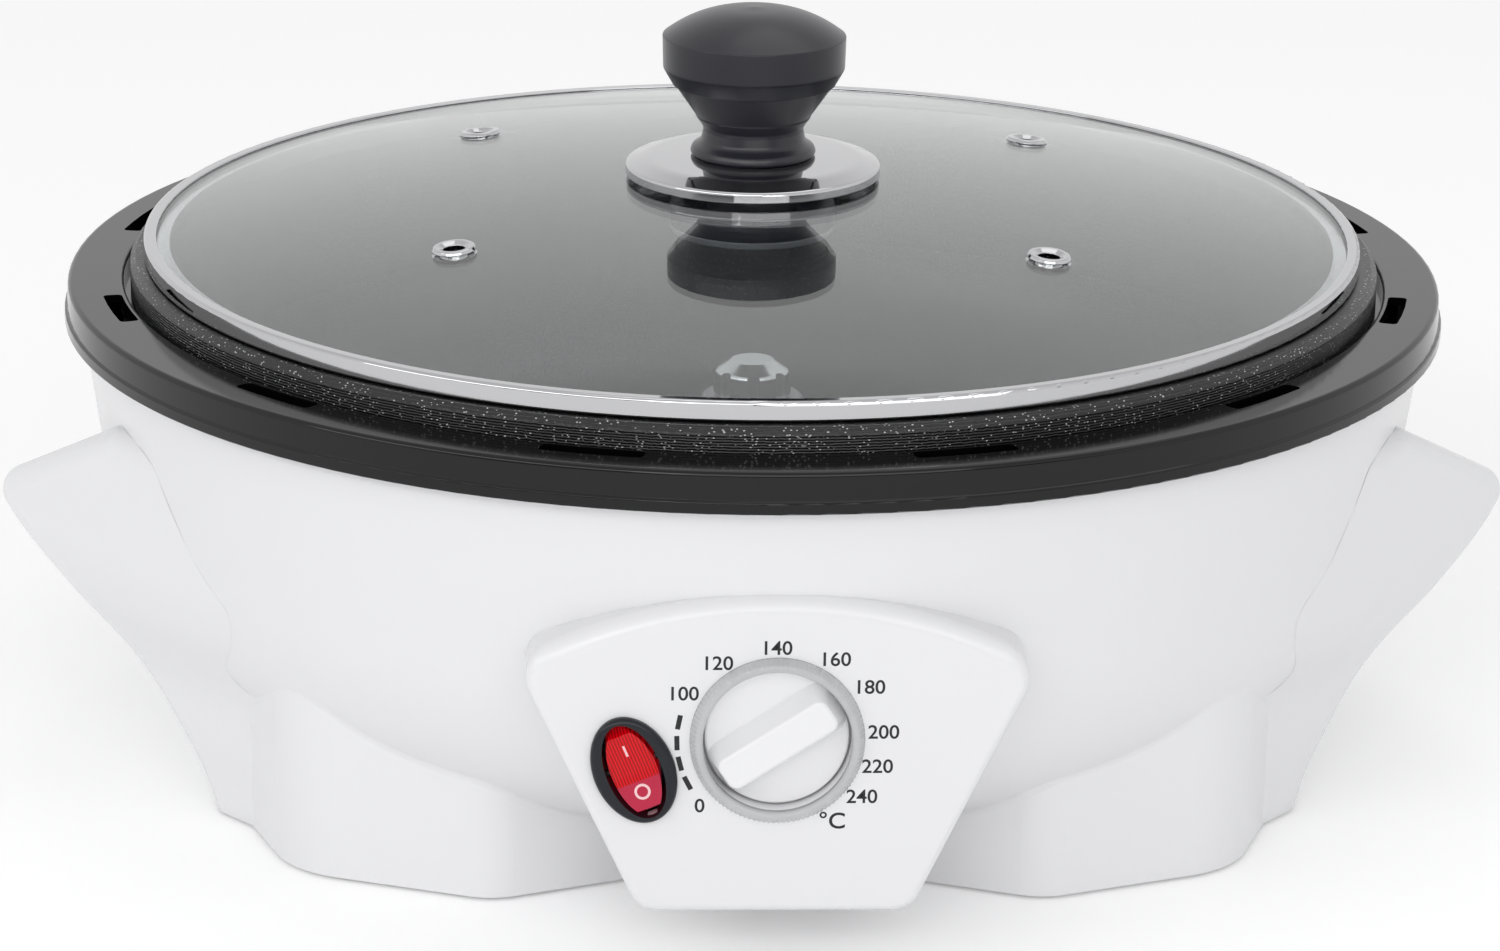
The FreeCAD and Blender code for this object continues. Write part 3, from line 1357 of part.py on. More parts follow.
def switch_housing():
    """Oval bezel, body behind the panel and three spade terminals."""
    front = panel_face + switch_flange
    flange = oval(switch_long, switch_short, panel_face, front)
    rim = [e for e in flange.Edges if abs(e.BoundBox.YMin + front) < 1e-6
           and abs(e.BoundBox.YMax + front) < 1e-6]
    flange = flange.makeFillet(1.2, rim[:1])
    body = switch_prism(switch_body_long - 0.4, switch_body_short - 0.4,
                        panel_face - switch_body_depth, panel_face)
    well = oval(rocker_long + rocker_end_gap, rocker_short + rocker_side_gap,
                panel_face - 13.0, front + 1)
    solid = joined([flange, body]).cut(well)
    back = panel_face - switch_body_depth
    tabs = [placed(Part.makeBox(4.8, 6.0, 0.8, V(-2.4, -back, z)), switch_frame())
            for z in (-7.0, 0.0, 7.0)]
    pins = [placed(Part.makeCylinder(rocker_pin, 2.5,
                                     V(side * (rocker_short + 1.3), -rocker_pivot(), 0.0),
                                     V(-side, 0, 0)), switch_frame()) for side in (-1, 1)]
    return joined([solid] + tabs + pins)


def rocker_pivot():
    """Distance of the rocker's pivot from the pan's axis."""
    return panel_face - rocker_pivot_depth


def switch_rocker():
    """Rocker with a shallow V face, tipped to the I side."""
    pivot = rocker_pivot()
    base = panel_face
    half = rocker_long + 1.0
    corners = [(-half, base - 8.0), (half, base - 8.0), (half, base + rocker_crown + 0.3),
               (0.0, base + rocker_valley, 6.0), (-half, base + rocker_crown + 0.3)]
    wedge = Part.Face(rounded_wire(corners, lambda u, v: V(-20.0, -v, u))).extrude(V(40.0, 0, 0))
    barrel = Part.makeCylinder(rocker_long, 40.0, V(-20.0, -pivot, 0), X_AXIS)
    plan = Part.Wire(Part.Ellipse(V(0, 0, rocker_long), V(rocker_short, 0, 0), V(0, 0, 0)).toShape())
    plan.translate(V(0, -(base - 8.0), 0))
    prism = Part.Face(plan).extrude(V(0, -(8.0 + rocker_crown + 2.0), 0))
    body = wedge.common(barrel).common(prism)
    holes = [Part.makeCylinder(rocker_pin + running_gap, 2.5, V(side * 6.0, -pivot, 0.0),
                               V(-side, 0, 0)) for side in (-1, 1)]
    body = body.cut(Part.makeCompound(holes))
    body = spun(body, rocker_throw, V(0, -pivot, 0), V(-1, 0, 0))
    return placed(body, switch_frame())


# ---------------------------------------------------------------- underside and fasteners
def bottom_plate():
    """Sheet base that follows the foot's inside, with arc-shaped vents."""
    plate = foot_solid(shell_wall + side_gap, plate_height, plate_top)
    cuts = []
    for k in range(4):
        x, y = polar(45.0 + 90.0 * k, plate_boss_circle)
        cuts.append(disc(screw_radius + 0.3, 0, 20, x, y))
        x, y = polar(45.0 + 90.0 * k, rubber_circle)
        cuts.append(disc(rubber_plug, 0, 20, x, y))
    for radius in vent_row_radii:
        half = 28.0
        slot = turned([(radius - 2.0, 0), (radius + 2.0, 0), (radius + 2.0, 20), (radius - 2.0, 20)],
                      2 * half)
        cuts += around(spun(slot, -half), 4, 0.0)
    return plate.cut(Part.makeCompound(cuts))


def rubber_feet():
    """Four rubber feet plugged into the bottom plate."""
    solids = []
    for k in range(4):
        foot = turned([(0, 0), (rubber_radius - 1.0, 0, 0.6), (rubber_radius, plate_height, 0.3),
                       (rubber_plug, plate_height), (rubber_plug, plate_top),
                       (rubber_plug + 0.8, plate_top), (rubber_plug - 0.6, plate_top + 3.0, 0.4),
                       (0, plate_top + 3.0)])
        x, y = polar(45.0 + 90.0 * k, rubber_circle)
        solids.append(moved(foot, x, y, 0))
    return group(solids)


def bottom_screws():
    """Screws from below into the housing's bosses."""
    return group([screw(*polar(45.0 + 90.0 * k, plate_boss_circle), plate_height, 11.0)
                  for k in range(4)])


def ring_screws():
    """Screws from below through the housing's lugs into the ring's bosses."""
    seat = ring_top - ring_wall - ring_boss_length - 3.2
    places = [polar(360.0 * k / ring_boss_count, ring_boss_circle()) for k in range(ring_boss_count)]
    return group([screw(x, y, seat, 11.0, head=ring_screw_head) for x, y in places])


def grip_screws():
    """Screws from inside the housing into the grips."""
    solids = []
    for side, y, z in grip_screw_places():
        seat = screw_seat(y, z)
        length = wall_reach(y, z) - seat + screw_grip
        solids.append(side_screw(V(side * seat, y, z), V(side, 0, 0), length))
    return group(solids)


def cord_gland():
    """Cord bush in the back of the housing."""
    face = gland_face
    bush = turned([(gland_bore, -18.0), (gland_neck, -18.0), (gland_neck, 0),
                   (gland_boss - 0.8, 0, 0.3), (gland_boss - 1.6, gland_flange, 0.8),
                   (gland_bore, gland_flange, 0.6)])
    return moved(spun(bush, -90.0, ORIGIN, X_AXIS), 0, face, gland_height)


def terminal_block():
    """Terminal strip on the bottom plate between two rows of vents, where the cord's wires end."""
    body = slab(rectangle(9.0, 16.0, 1.0, 0.0, terminal_circle), plate_top, plate_top + 11.0)
    wells = []
    for step in (-10.0, 0.0, 10.0):
        y = terminal_circle + step
        wells.append(disc(2.6, plate_top + 4.0, plate_top + 12.0, 0.0, y))
        wells.append(Part.makeCylinder(1.8, 40.0, V(-20.0, y, plate_top + 3.0), X_AXIS))
    return spun(body.cut(Part.makeCompound(wells)), 45.0)


# ---------------------------------------------------------------- output
NODES = {
    "base_shell": base_shell,
    "side_grip_right": lambda: side_grip(1),
    "side_grip_left": lambda: side_grip(-1),
    "top_ring": top_ring,
    "roasting_pan": roasting_pan,
    "shaft_bush": shaft_bush,
    "heating_element": heating_element,
    "element_clips": element_clips,
    "heat_shield": heat_shield,
    "motor_bracket": motor_bracket,
    "gear_motor": gear_motor,
    "motor_screws": motor_screws,
    "shield_screws": shield_screws,
    "thermal_fuse": thermal_fuse,
    "fuse_clip": fuse_clip,
    "sensing_bulb": sensing_bulb,
    "drive_shaft": drive_shaft,
    "stirrer_hub": stirrer_hub,
    "stirring_arms": stirring_arms,
    "scraper_blades": scraper_blades,
    "blade_rivets": blade_rivets,
    "hub_nut": hub_nut,
    "lid_glass": lid_glass,
    "lid_band": lid_band,
    "vent_grommets": vent_grommets,
    "knob_disc": knob_disc,
    "disc_spacer": disc_spacer,
    "lid_knob": lid_knob,
    "lower_cap": lower_cap,
    "cap_washer": cap_washer,
    "lid_screw": lid_screw,
    "control_panel": control_panel,
    "panel_screws": panel_screws,
    "dial_bezel": dial_bezel,
    "temperature_knob": temperature_knob,
    "thermostat_shaft": thermostat_shaft,
    "thermostat": thermostat,
    "switch_housing": switch_housing,
    "switch_rocker": switch_rocker,
    "bottom_plate": bottom_plate,
    "rubber_feet": rubber_feet,
    "bottom_screws": bottom_screws,
    "ring_screws": ring_screws,
    "grip_screws": grip_screws,
    "cord_gland": cord_gland,
    "terminal_block": terminal_block,
}


LID_NODES = ("lid_glass", "lid_band", "vent_grommets", "knob_disc", "disc_spacer", "lid_knob",
             "lower_cap", "cap_washer", "lid_screw")


def write_parts():
    """Build every node and save it as a STEP file of its own."""
    os.makedirs("parts", exist_ok=True)
    for name, build in NODES.items():
        shape = build()
        if name in LID_NODES:
            shape = moved(shape, lid_shift, 0, 0)
        print(name, "solids", len(shape.Solids), "valid", shape.isValid(),
              "volume", round(shape.Volume, 1))
        shape.exportStep("parts/" + name + ".step")


write_parts()
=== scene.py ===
"""Looks of a coffee bean roaster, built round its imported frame.

Metres. +X runs to the right, the control panel faces -Y and the feet stand on z = 0.
"""

import json
import logging
import math
from dataclasses import dataclass, field
from enum import Enum
from typing import Any

import bmesh
import bpy
from mathutils import Matrix, Vector
from mathutils.bvhtree import BVHTree

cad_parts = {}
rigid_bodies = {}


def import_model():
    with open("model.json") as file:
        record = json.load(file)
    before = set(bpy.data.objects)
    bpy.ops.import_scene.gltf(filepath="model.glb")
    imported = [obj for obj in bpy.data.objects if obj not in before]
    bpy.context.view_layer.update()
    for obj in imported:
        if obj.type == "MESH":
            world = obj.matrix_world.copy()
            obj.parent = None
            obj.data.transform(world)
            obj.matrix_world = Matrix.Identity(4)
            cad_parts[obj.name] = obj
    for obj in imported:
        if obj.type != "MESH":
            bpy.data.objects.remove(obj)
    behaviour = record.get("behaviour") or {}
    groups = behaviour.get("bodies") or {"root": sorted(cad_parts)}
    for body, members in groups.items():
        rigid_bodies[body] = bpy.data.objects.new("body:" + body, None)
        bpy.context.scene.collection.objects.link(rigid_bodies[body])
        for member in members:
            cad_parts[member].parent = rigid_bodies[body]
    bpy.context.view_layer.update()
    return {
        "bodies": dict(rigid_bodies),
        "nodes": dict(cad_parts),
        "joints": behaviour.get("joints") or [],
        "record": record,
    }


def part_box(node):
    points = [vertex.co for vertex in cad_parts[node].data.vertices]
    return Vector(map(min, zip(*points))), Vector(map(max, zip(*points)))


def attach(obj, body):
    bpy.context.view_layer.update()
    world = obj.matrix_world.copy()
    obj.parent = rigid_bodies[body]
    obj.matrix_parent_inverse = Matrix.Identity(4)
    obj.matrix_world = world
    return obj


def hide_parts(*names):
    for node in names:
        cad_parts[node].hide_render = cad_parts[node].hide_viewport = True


LOG = logging.getLogger("roaster")
MM = 0.001
WHITE = (1.0, 1.0, 1.0, 1.0)
LETTER_GROWTH = 0.012  # how far letters grow past their outline, as a share of the font size
WAVE_PERIOD = 0.314  # period of a wave texture whose scale is 1
MERGE_DISTANCE = 1e-7
RAY_START = 0.05  # how far in front of a face a ray starts that looks for it
DIAL_HEIGHT = 52.9 * MM  # the dial's centre above the floor
BEZEL_STAND = 1.9 * MM  # how far the switch's bezel stands in front of the panel
SWITCH_LEAN = math.radians(22.0)  # how far the switch's long axis leans to the left
SWITCH_UP = Vector((-math.sin(SWITCH_LEAN), 0.0, math.cos(SWITCH_LEAN)))
SWITCH_ACROSS = Vector((math.cos(SWITCH_LEAN), 0.0, math.sin(SWITCH_LEAN)))
TO_PANEL = Matrix.Rotation(math.pi / 2, 4, "X")  # turns the XY plane into the panel's


# ------------------------------------------------------------------ node and colour helpers
def linear(hex_colour: str) -> tuple[float, float, float, float]:
    """Turn an sRGB hex colour into linear RGBA.

    Args:
        hex_colour: Six hex digits.

    Returns:
        Linear red, green and blue, and an alpha of 1.
    """
    parts = [int(hex_colour[i:i + 2], 16) / 255.0 for i in (0, 2, 4)]
    red, green, blue = (c / 12.92 if c <= 0.04045 else ((c + 0.055) / 1.055) ** 2.4 for c in parts)
    return red, green, blue, 1.0


def add_node(tree: bpy.types.NodeTree, kind: str, inputs: dict[Any, Any] | None = None,
             **settings: Any) -> bpy.types.Node:
    """Add one node with its settings, input values and links.

    Args:
        tree: The node tree to add to.
        kind: The node's type name.
        inputs: Socket name or number to a plain value, or to an output socket to link.
        **settings: Attributes of the node itself.

    Returns:
        The new node.
    """
    node = tree.nodes.new(kind)
    for name, value in settings.items():
        setattr(node, name, value)
    for key, value in (inputs or {}).items():
        if isinstance(value, bpy.types.NodeSocket):
            tree.links.new(value, node.inputs[key])
        else:
            node.inputs[key].default_value = value
    return node


def blended(tree: bpy.types.NodeTree, share: bpy.types.NodeSocket, first: Any,
            second: Any) -> bpy.types.NodeSocket:
    """Blend two colours by a mask.

    Args:
        tree: The material's node tree.
        share: 0 gives the first colour and 1 the second.
        first: A hex colour or a colour output.
        second: A hex colour or a colour output.

    Returns:
        The blended colour.
    """
    ends = [linear(end) if isinstance(end, str) else end for end in (first, second)]
    # inputs 6 and 7 and output 2 are the node's colours
    return add_node(tree, "ShaderNodeMix", {0: share, 6: ends[0], 7: ends[1]},
                    data_type="RGBA").outputs[2]


def axis_distance(tree: bpy.types.NodeTree, place: bpy.types.NodeSocket) -> bpy.types.NodeSocket:
    """Distance from the roaster's upright axis.

    Args:
        tree: The material's node tree.
        place: Object coordinates, in metres.

    Returns:
        The distance, in metres.
    """
    flat = add_node(tree, "ShaderNodeVectorMath", {0: place, 1: (1.0, 1.0, 0.0)},
                    operation="MULTIPLY").outputs["Vector"]
    return add_node(tree, "ShaderNodeVectorMath", {0: flat}, operation="LENGTH").outputs["Value"]


# ------------------------------------------------------------------ finishes
@dataclass(frozen=True)
class Finish:
    """A real material: base colour and gloss, with a fine relief that breaks up its highlights."""

    name: str
    colour: str
    roughness: float
    metallic: float = 0.0
    specular: float = 0.5
    relief_mm: float = 0.0
    relief_depth_mm: float = 0.0

    def shader_values(self) -> dict[str, Any]:
        """Plain values set on the shader's own sockets."""
        return {"Base Color": linear(self.colour), "Roughness": self.roughness,
                "Metallic": self.metallic, "Specular IOR Level": self.specular}

    def patterns(self, tree: bpy.types.NodeTree, place: bpy.types.NodeSocket) -> dict[str, Any]:
        """Patterned inputs of the shader.

        Args:
            tree: The material's node tree.
            place: Object coordinates, in metres.

        Returns:
            Shader socket name to output socket.
        """
        if not self.relief_depth_mm:
            return {}
        noise = add_node(tree, "ShaderNodeTexNoise",
                         {"Vector": place, "Scale": 1.0 / (self.relief_mm * MM), "Detail": 2.0})
        return {"Normal": self.relief(tree, noise.outputs["Fac"], self.relief_depth_mm)}

    @staticmethod
    def relief(tree: bpy.types.NodeTree, height: bpy.types.NodeSocket, depth_mm: float,
               below: bpy.types.NodeSocket | None = None) -> bpy.types.NodeSocket:
        """Relief from a height pattern.

        Args:
            tree: The material's node tree.
            height: The pattern, from 0 to 1.
            depth_mm: How high a value of 1 stands.
            below: Another relief that this one lies on.

        Returns:
            The relief's normal.
        """
        inputs = {"Height": height, "Strength": 1.0, "Distance": depth_mm * MM}
        if below is not None:
            inputs["Normal"] = below
        return add_node(tree, "ShaderNodeBump", inputs).outputs["Normal"]

    def surface(self, tree: bpy.types.NodeTree, shader: bpy.types.Node) -> bpy.types.NodeSocket:
        """What goes to the material's surface."""
        return shader.outputs["BSDF"]

    def material(self) -> bpy.types.Material:
        """Build the Blender material.

        Returns:
            The material, named for the finish.
        """
        made = bpy.data.materials.new(self.name)
        made.use_nodes = True
        tree = made.node_tree
        tree.nodes.clear()
        place = add_node(tree, "ShaderNodeTexCoord").outputs["Object"]
        shader = add_node(tree, "ShaderNodeBsdfPrincipled",
                          {**self.shader_values(), **self.patterns(tree, place)})
        add_node(tree, "ShaderNodeOutputMaterial", {"Surface": self.surface(tree, shader)})
        return made


@dataclass(frozen=True)
class Mottled(Finish):
    """A finish whose colour drifts between two close tones, such as plated or heated steel."""

    second_colour: str = "808080"
    patch_mm: float = 12.0

    def patterns(self, tree: bpy.types.NodeTree, place: bpy.types.NodeSocket) -> dict[str, Any]:
        """Relief of the base finish, with the second tone in soft patches.

        Args:
            tree: The material's node tree.
            place: Object coordinates, in metres.

        Returns:
            Shader socket name to output socket.
        """
        patches = add_node(tree, "ShaderNodeTexNoise",
                           {"Vector": place, "Scale": 1.0 / (self.patch_mm * MM), "Detail": 3.0})
        colour = blended(tree, patches.outputs["Fac"], self.colour, self.second_colour)
        return {**super().patterns(tree, place), "Base Color": colour}


@dataclass(frozen=True)
class Flecked(Finish):
    """A finish with small lighter flecks, such as filler that shows in satin phenolic."""

    fleck_colour: str = "FFFFFF"
    fleck_pitch_mm: float = 3.0
    fleck_share: float = 0.12
    fleck_spread: float = 0.5
    fleck_squash: float = 1.0
    fleck_core: float = 0.6

    def flecks(self, tree: bpy.types.NodeTree, place: bpy.types.NodeSocket) -> bpy.types.NodeSocket:
        """Mask of the flecks. Only some of the cells hold one.

        Args:
            tree: The material's node tree.
            place: Object coordinates, in metres.

        Returns:
            1 in a fleck and 0 beside it.
        """
        squashed = add_node(tree, "ShaderNodeVectorMath",
                            {0: place, 1: (1.0, 1.0, self.fleck_squash)},
                            operation="MULTIPLY").outputs["Vector"]
        cells = add_node(tree, "ShaderNodeTexVoronoi",
                         {"Vector": squashed, "Scale": 1.0 / (self.fleck_pitch_mm * MM)})
        dots = add_node(tree, "ShaderNodeMapRange",
                        {"Value": cells.outputs["Distance"], "From Min": self.fleck_share,
                         "From Max": self.fleck_share * self.fleck_core}).outputs["Result"]
        chosen = add_node(tree, "ShaderNodeMath", {0: cells.outputs["Color"], 1: self.fleck_spread},
                          operation="GREATER_THAN").outputs[0]
        return add_node(tree, "ShaderNodeMath", {0: dots, 1: chosen},
                        operation="MULTIPLY").outputs[0]

    def patterns(self, tree: bpy.types.NodeTree, place: bpy.types.NodeSocket) -> dict[str, Any]:
        """Relief of the base finish, with the flecks in its colour."""
        colour = blended(tree, self.flecks(tree, place), self.colour, self.fleck_colour)
        return {**super().patterns(tree, place), "Base Color": colour}


@dataclass(frozen=True)
class TurnedCoat(Flecked):
    """Non-stick coat over a casting whose rim was turned on a lathe: flecks and fine grooves."""

    groove_pitch_mm: float = 0.62
    groove_depth_mm: float = 0.08
    groove_radius_mm: float = 146.5
    groove_wander: float = 2.4
    inner_flecks: float = 0.12

    def patterns(self, tree: bpy.types.NodeTree, place: bpy.types.NodeSocket) -> dict[str, Any]:
        """The coat, with level grooves and most of the flecks outside a radius.

        Args:
            tree: The material's node tree.
            place: Object coordinates, in metres.

        Returns:
            Shader socket name to output socket.
        """
        made = super().patterns(tree, place)
        outside = add_node(tree, "ShaderNodeMath",
                           {0: axis_distance(tree, place), 1: self.groove_radius_mm * MM},
                           operation="GREATER_THAN").outputs[0]
        shown = add_node(tree, "ShaderNodeMapRange",
                         {"Value": outside, "To Min": self.inner_flecks}).outputs["Result"]
        made["Base Color"] = blended(tree, shown, self.colour, made["Base Color"])
        wave = add_node(tree, "ShaderNodeTexWave",
                        {"Vector": place, "Scale": WAVE_PERIOD / (self.groove_pitch_mm * MM),
                         "Distortion": self.groove_wander, "Detail": 3.0,
                         "Detail Scale": 2.0}, bands_direction="Z")
        grooves = add_node(tree, "ShaderNodeMath", {0: wave.outputs["Fac"], 1: outside},
                           operation="MULTIPLY").outputs[0]
        made["Normal"] = self.relief(tree, grooves, self.groove_depth_mm, made.get("Normal"))
        return made


@dataclass(frozen=True)
class Brushed(Finish):
    """Metal with drawn or turned lines round the part's own axis."""

    line_pitch_mm: float = 0.5
    line_depth_mm: float = 0.01

    def patterns(self, tree: bpy.types.NodeTree, place: bpy.types.NodeSocket) -> dict[str, Any]:
        """Lines at one height and radius, stretched along the turning direction.

        Args:
            tree: The material's node tree.
            place: Object coordinates, in metres.

        Returns:
            Shader socket name to output socket.
        """
        height = add_node(tree, "ShaderNodeSeparateXYZ", {0: place}).outputs["Z"]
        section = add_node(tree, "ShaderNodeCombineXYZ",
                           {0: axis_distance(tree, place), 2: height}).outputs["Vector"]
        lines = add_node(tree, "ShaderNodeTexNoise",
                         {"Vector": section, "Scale": 1.0 / (self.line_pitch_mm * MM)})
        return {"Normal": self.relief(tree, lines.outputs["Fac"], self.line_depth_mm)}


@dataclass(frozen=True)
class Clear(Finish):
    """Clear glass or plastic that lets light and shadow through."""

    transmission: float = 1.0
    index: float = 1.5
    shadow_colour: str = "F2F4F4"

    def shader_values(self) -> dict[str, Any]:
        """Plain values, with the share of light that passes through."""
        return {**super().shader_values(), "Transmission Weight": self.transmission,
                "IOR": self.index}

    def surface(self, tree: bpy.types.NodeTree, shader: bpy.types.Node) -> bpy.types.NodeSocket:
        """The shader, with its shadow let through.

        Args:
            tree: The material's node tree.
            shader: The finish's shader.

        Returns:
            What goes to the material's surface.
        """
        path = add_node(tree, "ShaderNodeLightPath")
        open_shadow = add_node(tree, "ShaderNodeBsdfTransparent",
                               {"Color": linear(self.shadow_colour)})
        return add_node(tree, "ShaderNodeMixShader",
                        {0: path.outputs["Is Shadow Ray"], 1: shader.outputs["BSDF"],
                         2: open_shadow.outputs["BSDF"]}).outputs["Shader"]


@dataclass(frozen=True)
class LitLens(Finish):
    """Tinted lens over a small lamp, with fine moulded flutes whose grooves hold painted shade, and
    a smooth lower end painted paler as light falling on it.
    """

    glow: float = 0.26
    # darker colour in the flutes' grooves: painted shade
    groove_shade_colour: str = "8E0009"
    # paler colour of the lower end: painted light where that end tilts toward the light
    lit_end_colour: str = "A8203C"
    fold_mm: float = 52.0
    fold_blur_mm: float = 0.3
    flute_pitch_mm: float = 0.66
    flute_depth_mm: float = 0.05

    def shader_values(self) -> dict[str, Any]:
        """Plain values, with the lamp's glow in the lens colour."""
        return {**super().shader_values(), "Emission Strength": self.glow}

    def patterns(self, tree: bpy.types.NodeTree, place: bpy.types.NodeSocket) -> dict[str, Any]:
        """Flutes along the rocker above its fold, with shade painted in their grooves, and a paler
        tint painted below as light on the lower end.

        Args:
            tree: The material's node tree.
            place: Object coordinates, in metres.

        Returns:
            Shader socket name to output socket.
        """
        turned = add_node(tree, "ShaderNodeMapping",
                          {"Vector": place, "Rotation": (0.0, SWITCH_LEAN, 0.0)})
        wave = add_node(tree, "ShaderNodeTexWave",
                        {"Vector": turned.outputs["Vector"],
                         "Scale": WAVE_PERIOD / (self.flute_pitch_mm * MM)}, bands_direction="X")
        along = add_node(tree, "ShaderNodeVectorMath", {0: place, 1: SWITCH_UP},
                         operation="DOT_PRODUCT").outputs["Value"]
        upper = add_node(tree, "ShaderNodeMapRange",
                         {"Value": along, "From Min": (self.fold_mm - self.fold_blur_mm) * MM,
                          "From Max": self.fold_mm * MM}).outputs["Result"]
        # the grooves of the flutes take the darker colour: painted shade
        fluted = blended(tree, wave.outputs["Fac"], self.groove_shade_colour, self.colour)
        # below the fold the paler colour is painted light, and it also feeds the glow
        tint = blended(tree, upper, self.lit_end_colour, fluted)
        flutes = add_node(tree, "ShaderNodeMath", {0: wave.outputs["Fac"], 1: upper},
                          operation="MULTIPLY").outputs[0]
        return {"Base Color": tint, "Emission Color": tint,
                "Normal": self.relief(tree, flutes, self.flute_depth_mm)}


# Each finish is named for the real material; the comment says what that gives the eye.
FINISHES: dict[str, Finish] = {
    # moulded polypropylene: bright gloss with the faint waviness of a large moulding
    "shell_white": Finish("Glossy white polypropylene", "E9E9EB", 0.24, relief_mm=9.0,
                          relief_depth_mm=0.02),
    # moulded ABS: deep black with sharp reflections
    "ring_black": Finish("Glossy black ABS", "070708", 0.1, specular=0.36, relief_mm=9.0,
                         relief_depth_mm=0.006),
    # PTFE coat on cast aluminium: near black, with mineral flecks and turning lines
    "pan_coated": TurnedCoat("Flecked non-stick coat", "0E0E0F", 0.34, relief_mm=0.6,
                             relief_depth_mm=0.06, fleck_colour="BCBCBE", fleck_pitch_mm=1.0,
                             fleck_share=0.28, fleck_spread=0.5, fleck_squash=1.8),
    # sintered bronze: warm, slightly porous
    "bush_bronze": Finish("Sintered bronze", "B98B4E", 0.42, 1.0, relief_mm=0.4,
                          relief_depth_mm=0.02),
    # heater tube: steel tinted brown and blue by heat
    "heater_steel": Mottled("Heat-tinted steel tube", "6E675F", 0.38, 1.0, second_colour="4E4A55",
                            patch_mm=14.0),
    # spring steel strip: satin grey
    "spring_steel": Mottled("Spring steel strip", "9C9C9E", 0.34, 1.0, second_colour="8A8A8D",
                            patch_mm=5.0),
    # aluminised sheet: light grey with a faint spangle
    "shield_aluminium": Mottled("Aluminised sheet", "C9CACC", 0.36, 1.0, second_colour="B4B6B9",
                                patch_mm=7.0),
    # zinc plate: pale blue-grey
    "plated_steel": Mottled("Zinc-plated steel", "BFC1C4", 0.33, 1.0, second_colour="A9ACB2",
                            patch_mm=5.0),
    # pressed can: satin steel
    "motor_steel": Mottled("Pressed steel can", "9EA0A3", 0.36, 1.0, second_colour="8E9094",
                           patch_mm=10.0),
    # glazed ceramic: warm white and shiny
    "fuse_ceramic": Finish("Glazed ceramic", "E2DFD6", 0.2, relief_mm=1.5, relief_depth_mm=0.02),
    # copper bulb: bright and warm, dulled in places
    "bulb_copper": Mottled("Bright copper", "C9825A", 0.26, 1.0, second_colour="A8663F",
                           patch_mm=6.0),
    # ground shaft: fine rings round it
    "shaft_steel": Brushed("Ground steel", "B4B5B8", 0.24, 1.0, line_pitch_mm=0.5,
                           line_depth_mm=0.006),
    # cast aluminium: dull grey with the skin of a mould
    "stirrer_cast": Finish("Cast aluminium", "8F9093", 0.46, 1.0, relief_mm=0.9,
                           relief_depth_mm=0.04),
    # stainless strip: cool grey satin
    "blade_stainless": Finish("Satin stainless strip", "B0B1B4", 0.3, 1.0, relief_mm=0.7,
                              relief_depth_mm=0.01),
    # turned aluminium: fine rings
    "nut_aluminium": Brushed("Turned aluminium", "C3C4C6", 0.26, 1.0, line_pitch_mm=0.6,
                             line_depth_mm=0.01),
    # toughened soda-lime glass: clear, with sharp reflections
    "lid_glass": Clear("Toughened glass", "F5F8F8", 0.0, index=1.5),
    # polished stainless: mirror with faint spinning lines
    "band_stainless": Brushed("Polished stainless", "C0C0C2", 0.06, 1.0, line_pitch_mm=0.7,
                              line_depth_mm=0.0015),
    # satin phenolic: blue-black with specks of filler
    "knob_black": Flecked("Satin phenolic", "22222A", 0.3, relief_mm=0.9, relief_depth_mm=0.008,
                          fleck_colour="B9BCC4", fleck_pitch_mm=6.0, fleck_share=0.07,
                          fleck_spread=0.86),
    "cap_black": Flecked("Dark satin phenolic", "1A1E25", 0.28, relief_mm=0.9,
                         relief_depth_mm=0.008, fleck_colour="C8CCD2", fleck_pitch_mm=6.0,
                         fleck_share=0.07, fleck_spread=0.84),
    # silicone: soft matt grey
    "washer_grey": Finish("Grey silicone", "8B8D91", 0.55, relief_mm=1.0, relief_depth_mm=0.01),
    "spacer_aluminium": Brushed("Turned aluminium sleeve", "B9BABC", 0.3, 1.0),
    # smoky polycarbonate: shiny grey that light sinks into a little
    "bezel_grey": Clear("Smoky polycarbonate", "DCDDDF", 0.1, transmission=0.35, index=1.58),
    # dial: bright moulded ABS
    "dial_white": Finish("Glossy white ABS", "EDEDEF", 0.2, relief_mm=5.0, relief_depth_mm=0.01),
    # phenolic moulding: dark brown satin
    "bakelite_brown": Finish("Brown phenolic", "2E231D", 0.4, relief_mm=0.8, relief_depth_mm=0.02),
    # nylon: dark blue-grey with soft highlights
    "switch_black": Finish("Moulded nylon", "171A20", 0.28, specular=0.35, relief_mm=0.8,
                           relief_depth_mm=0.008),
    # tinted polycarbonate lens over a neon lamp, with painted shade in its flute grooves and
    # painted light on its lower end
    "rocker_red": LitLens("Red polycarbonate lens", "D00412", 0.1, specular=0.28),
    # rubber: dark and matt
    "rubber_dark": Finish("Black rubber", "1A1A1B", 0.7, relief_mm=0.7, relief_depth_mm=0.02),
    # polyamide strip: cream satin
    "terminal_cream": Finish("Cream polyamide", "DCD6C6", 0.38, relief_mm=0.9,
                             relief_depth_mm=0.01),
}
PRINT_INK = Finish("Black pad-printed ink", "141416", 0.5, relief_mm=0.4, relief_depth_mm=0.003)
MARK_INK = Finish("Pale hot-foil mark", "F3C9CC", 0.4, relief_mm=0.4, relief_depth_mm=0.003)


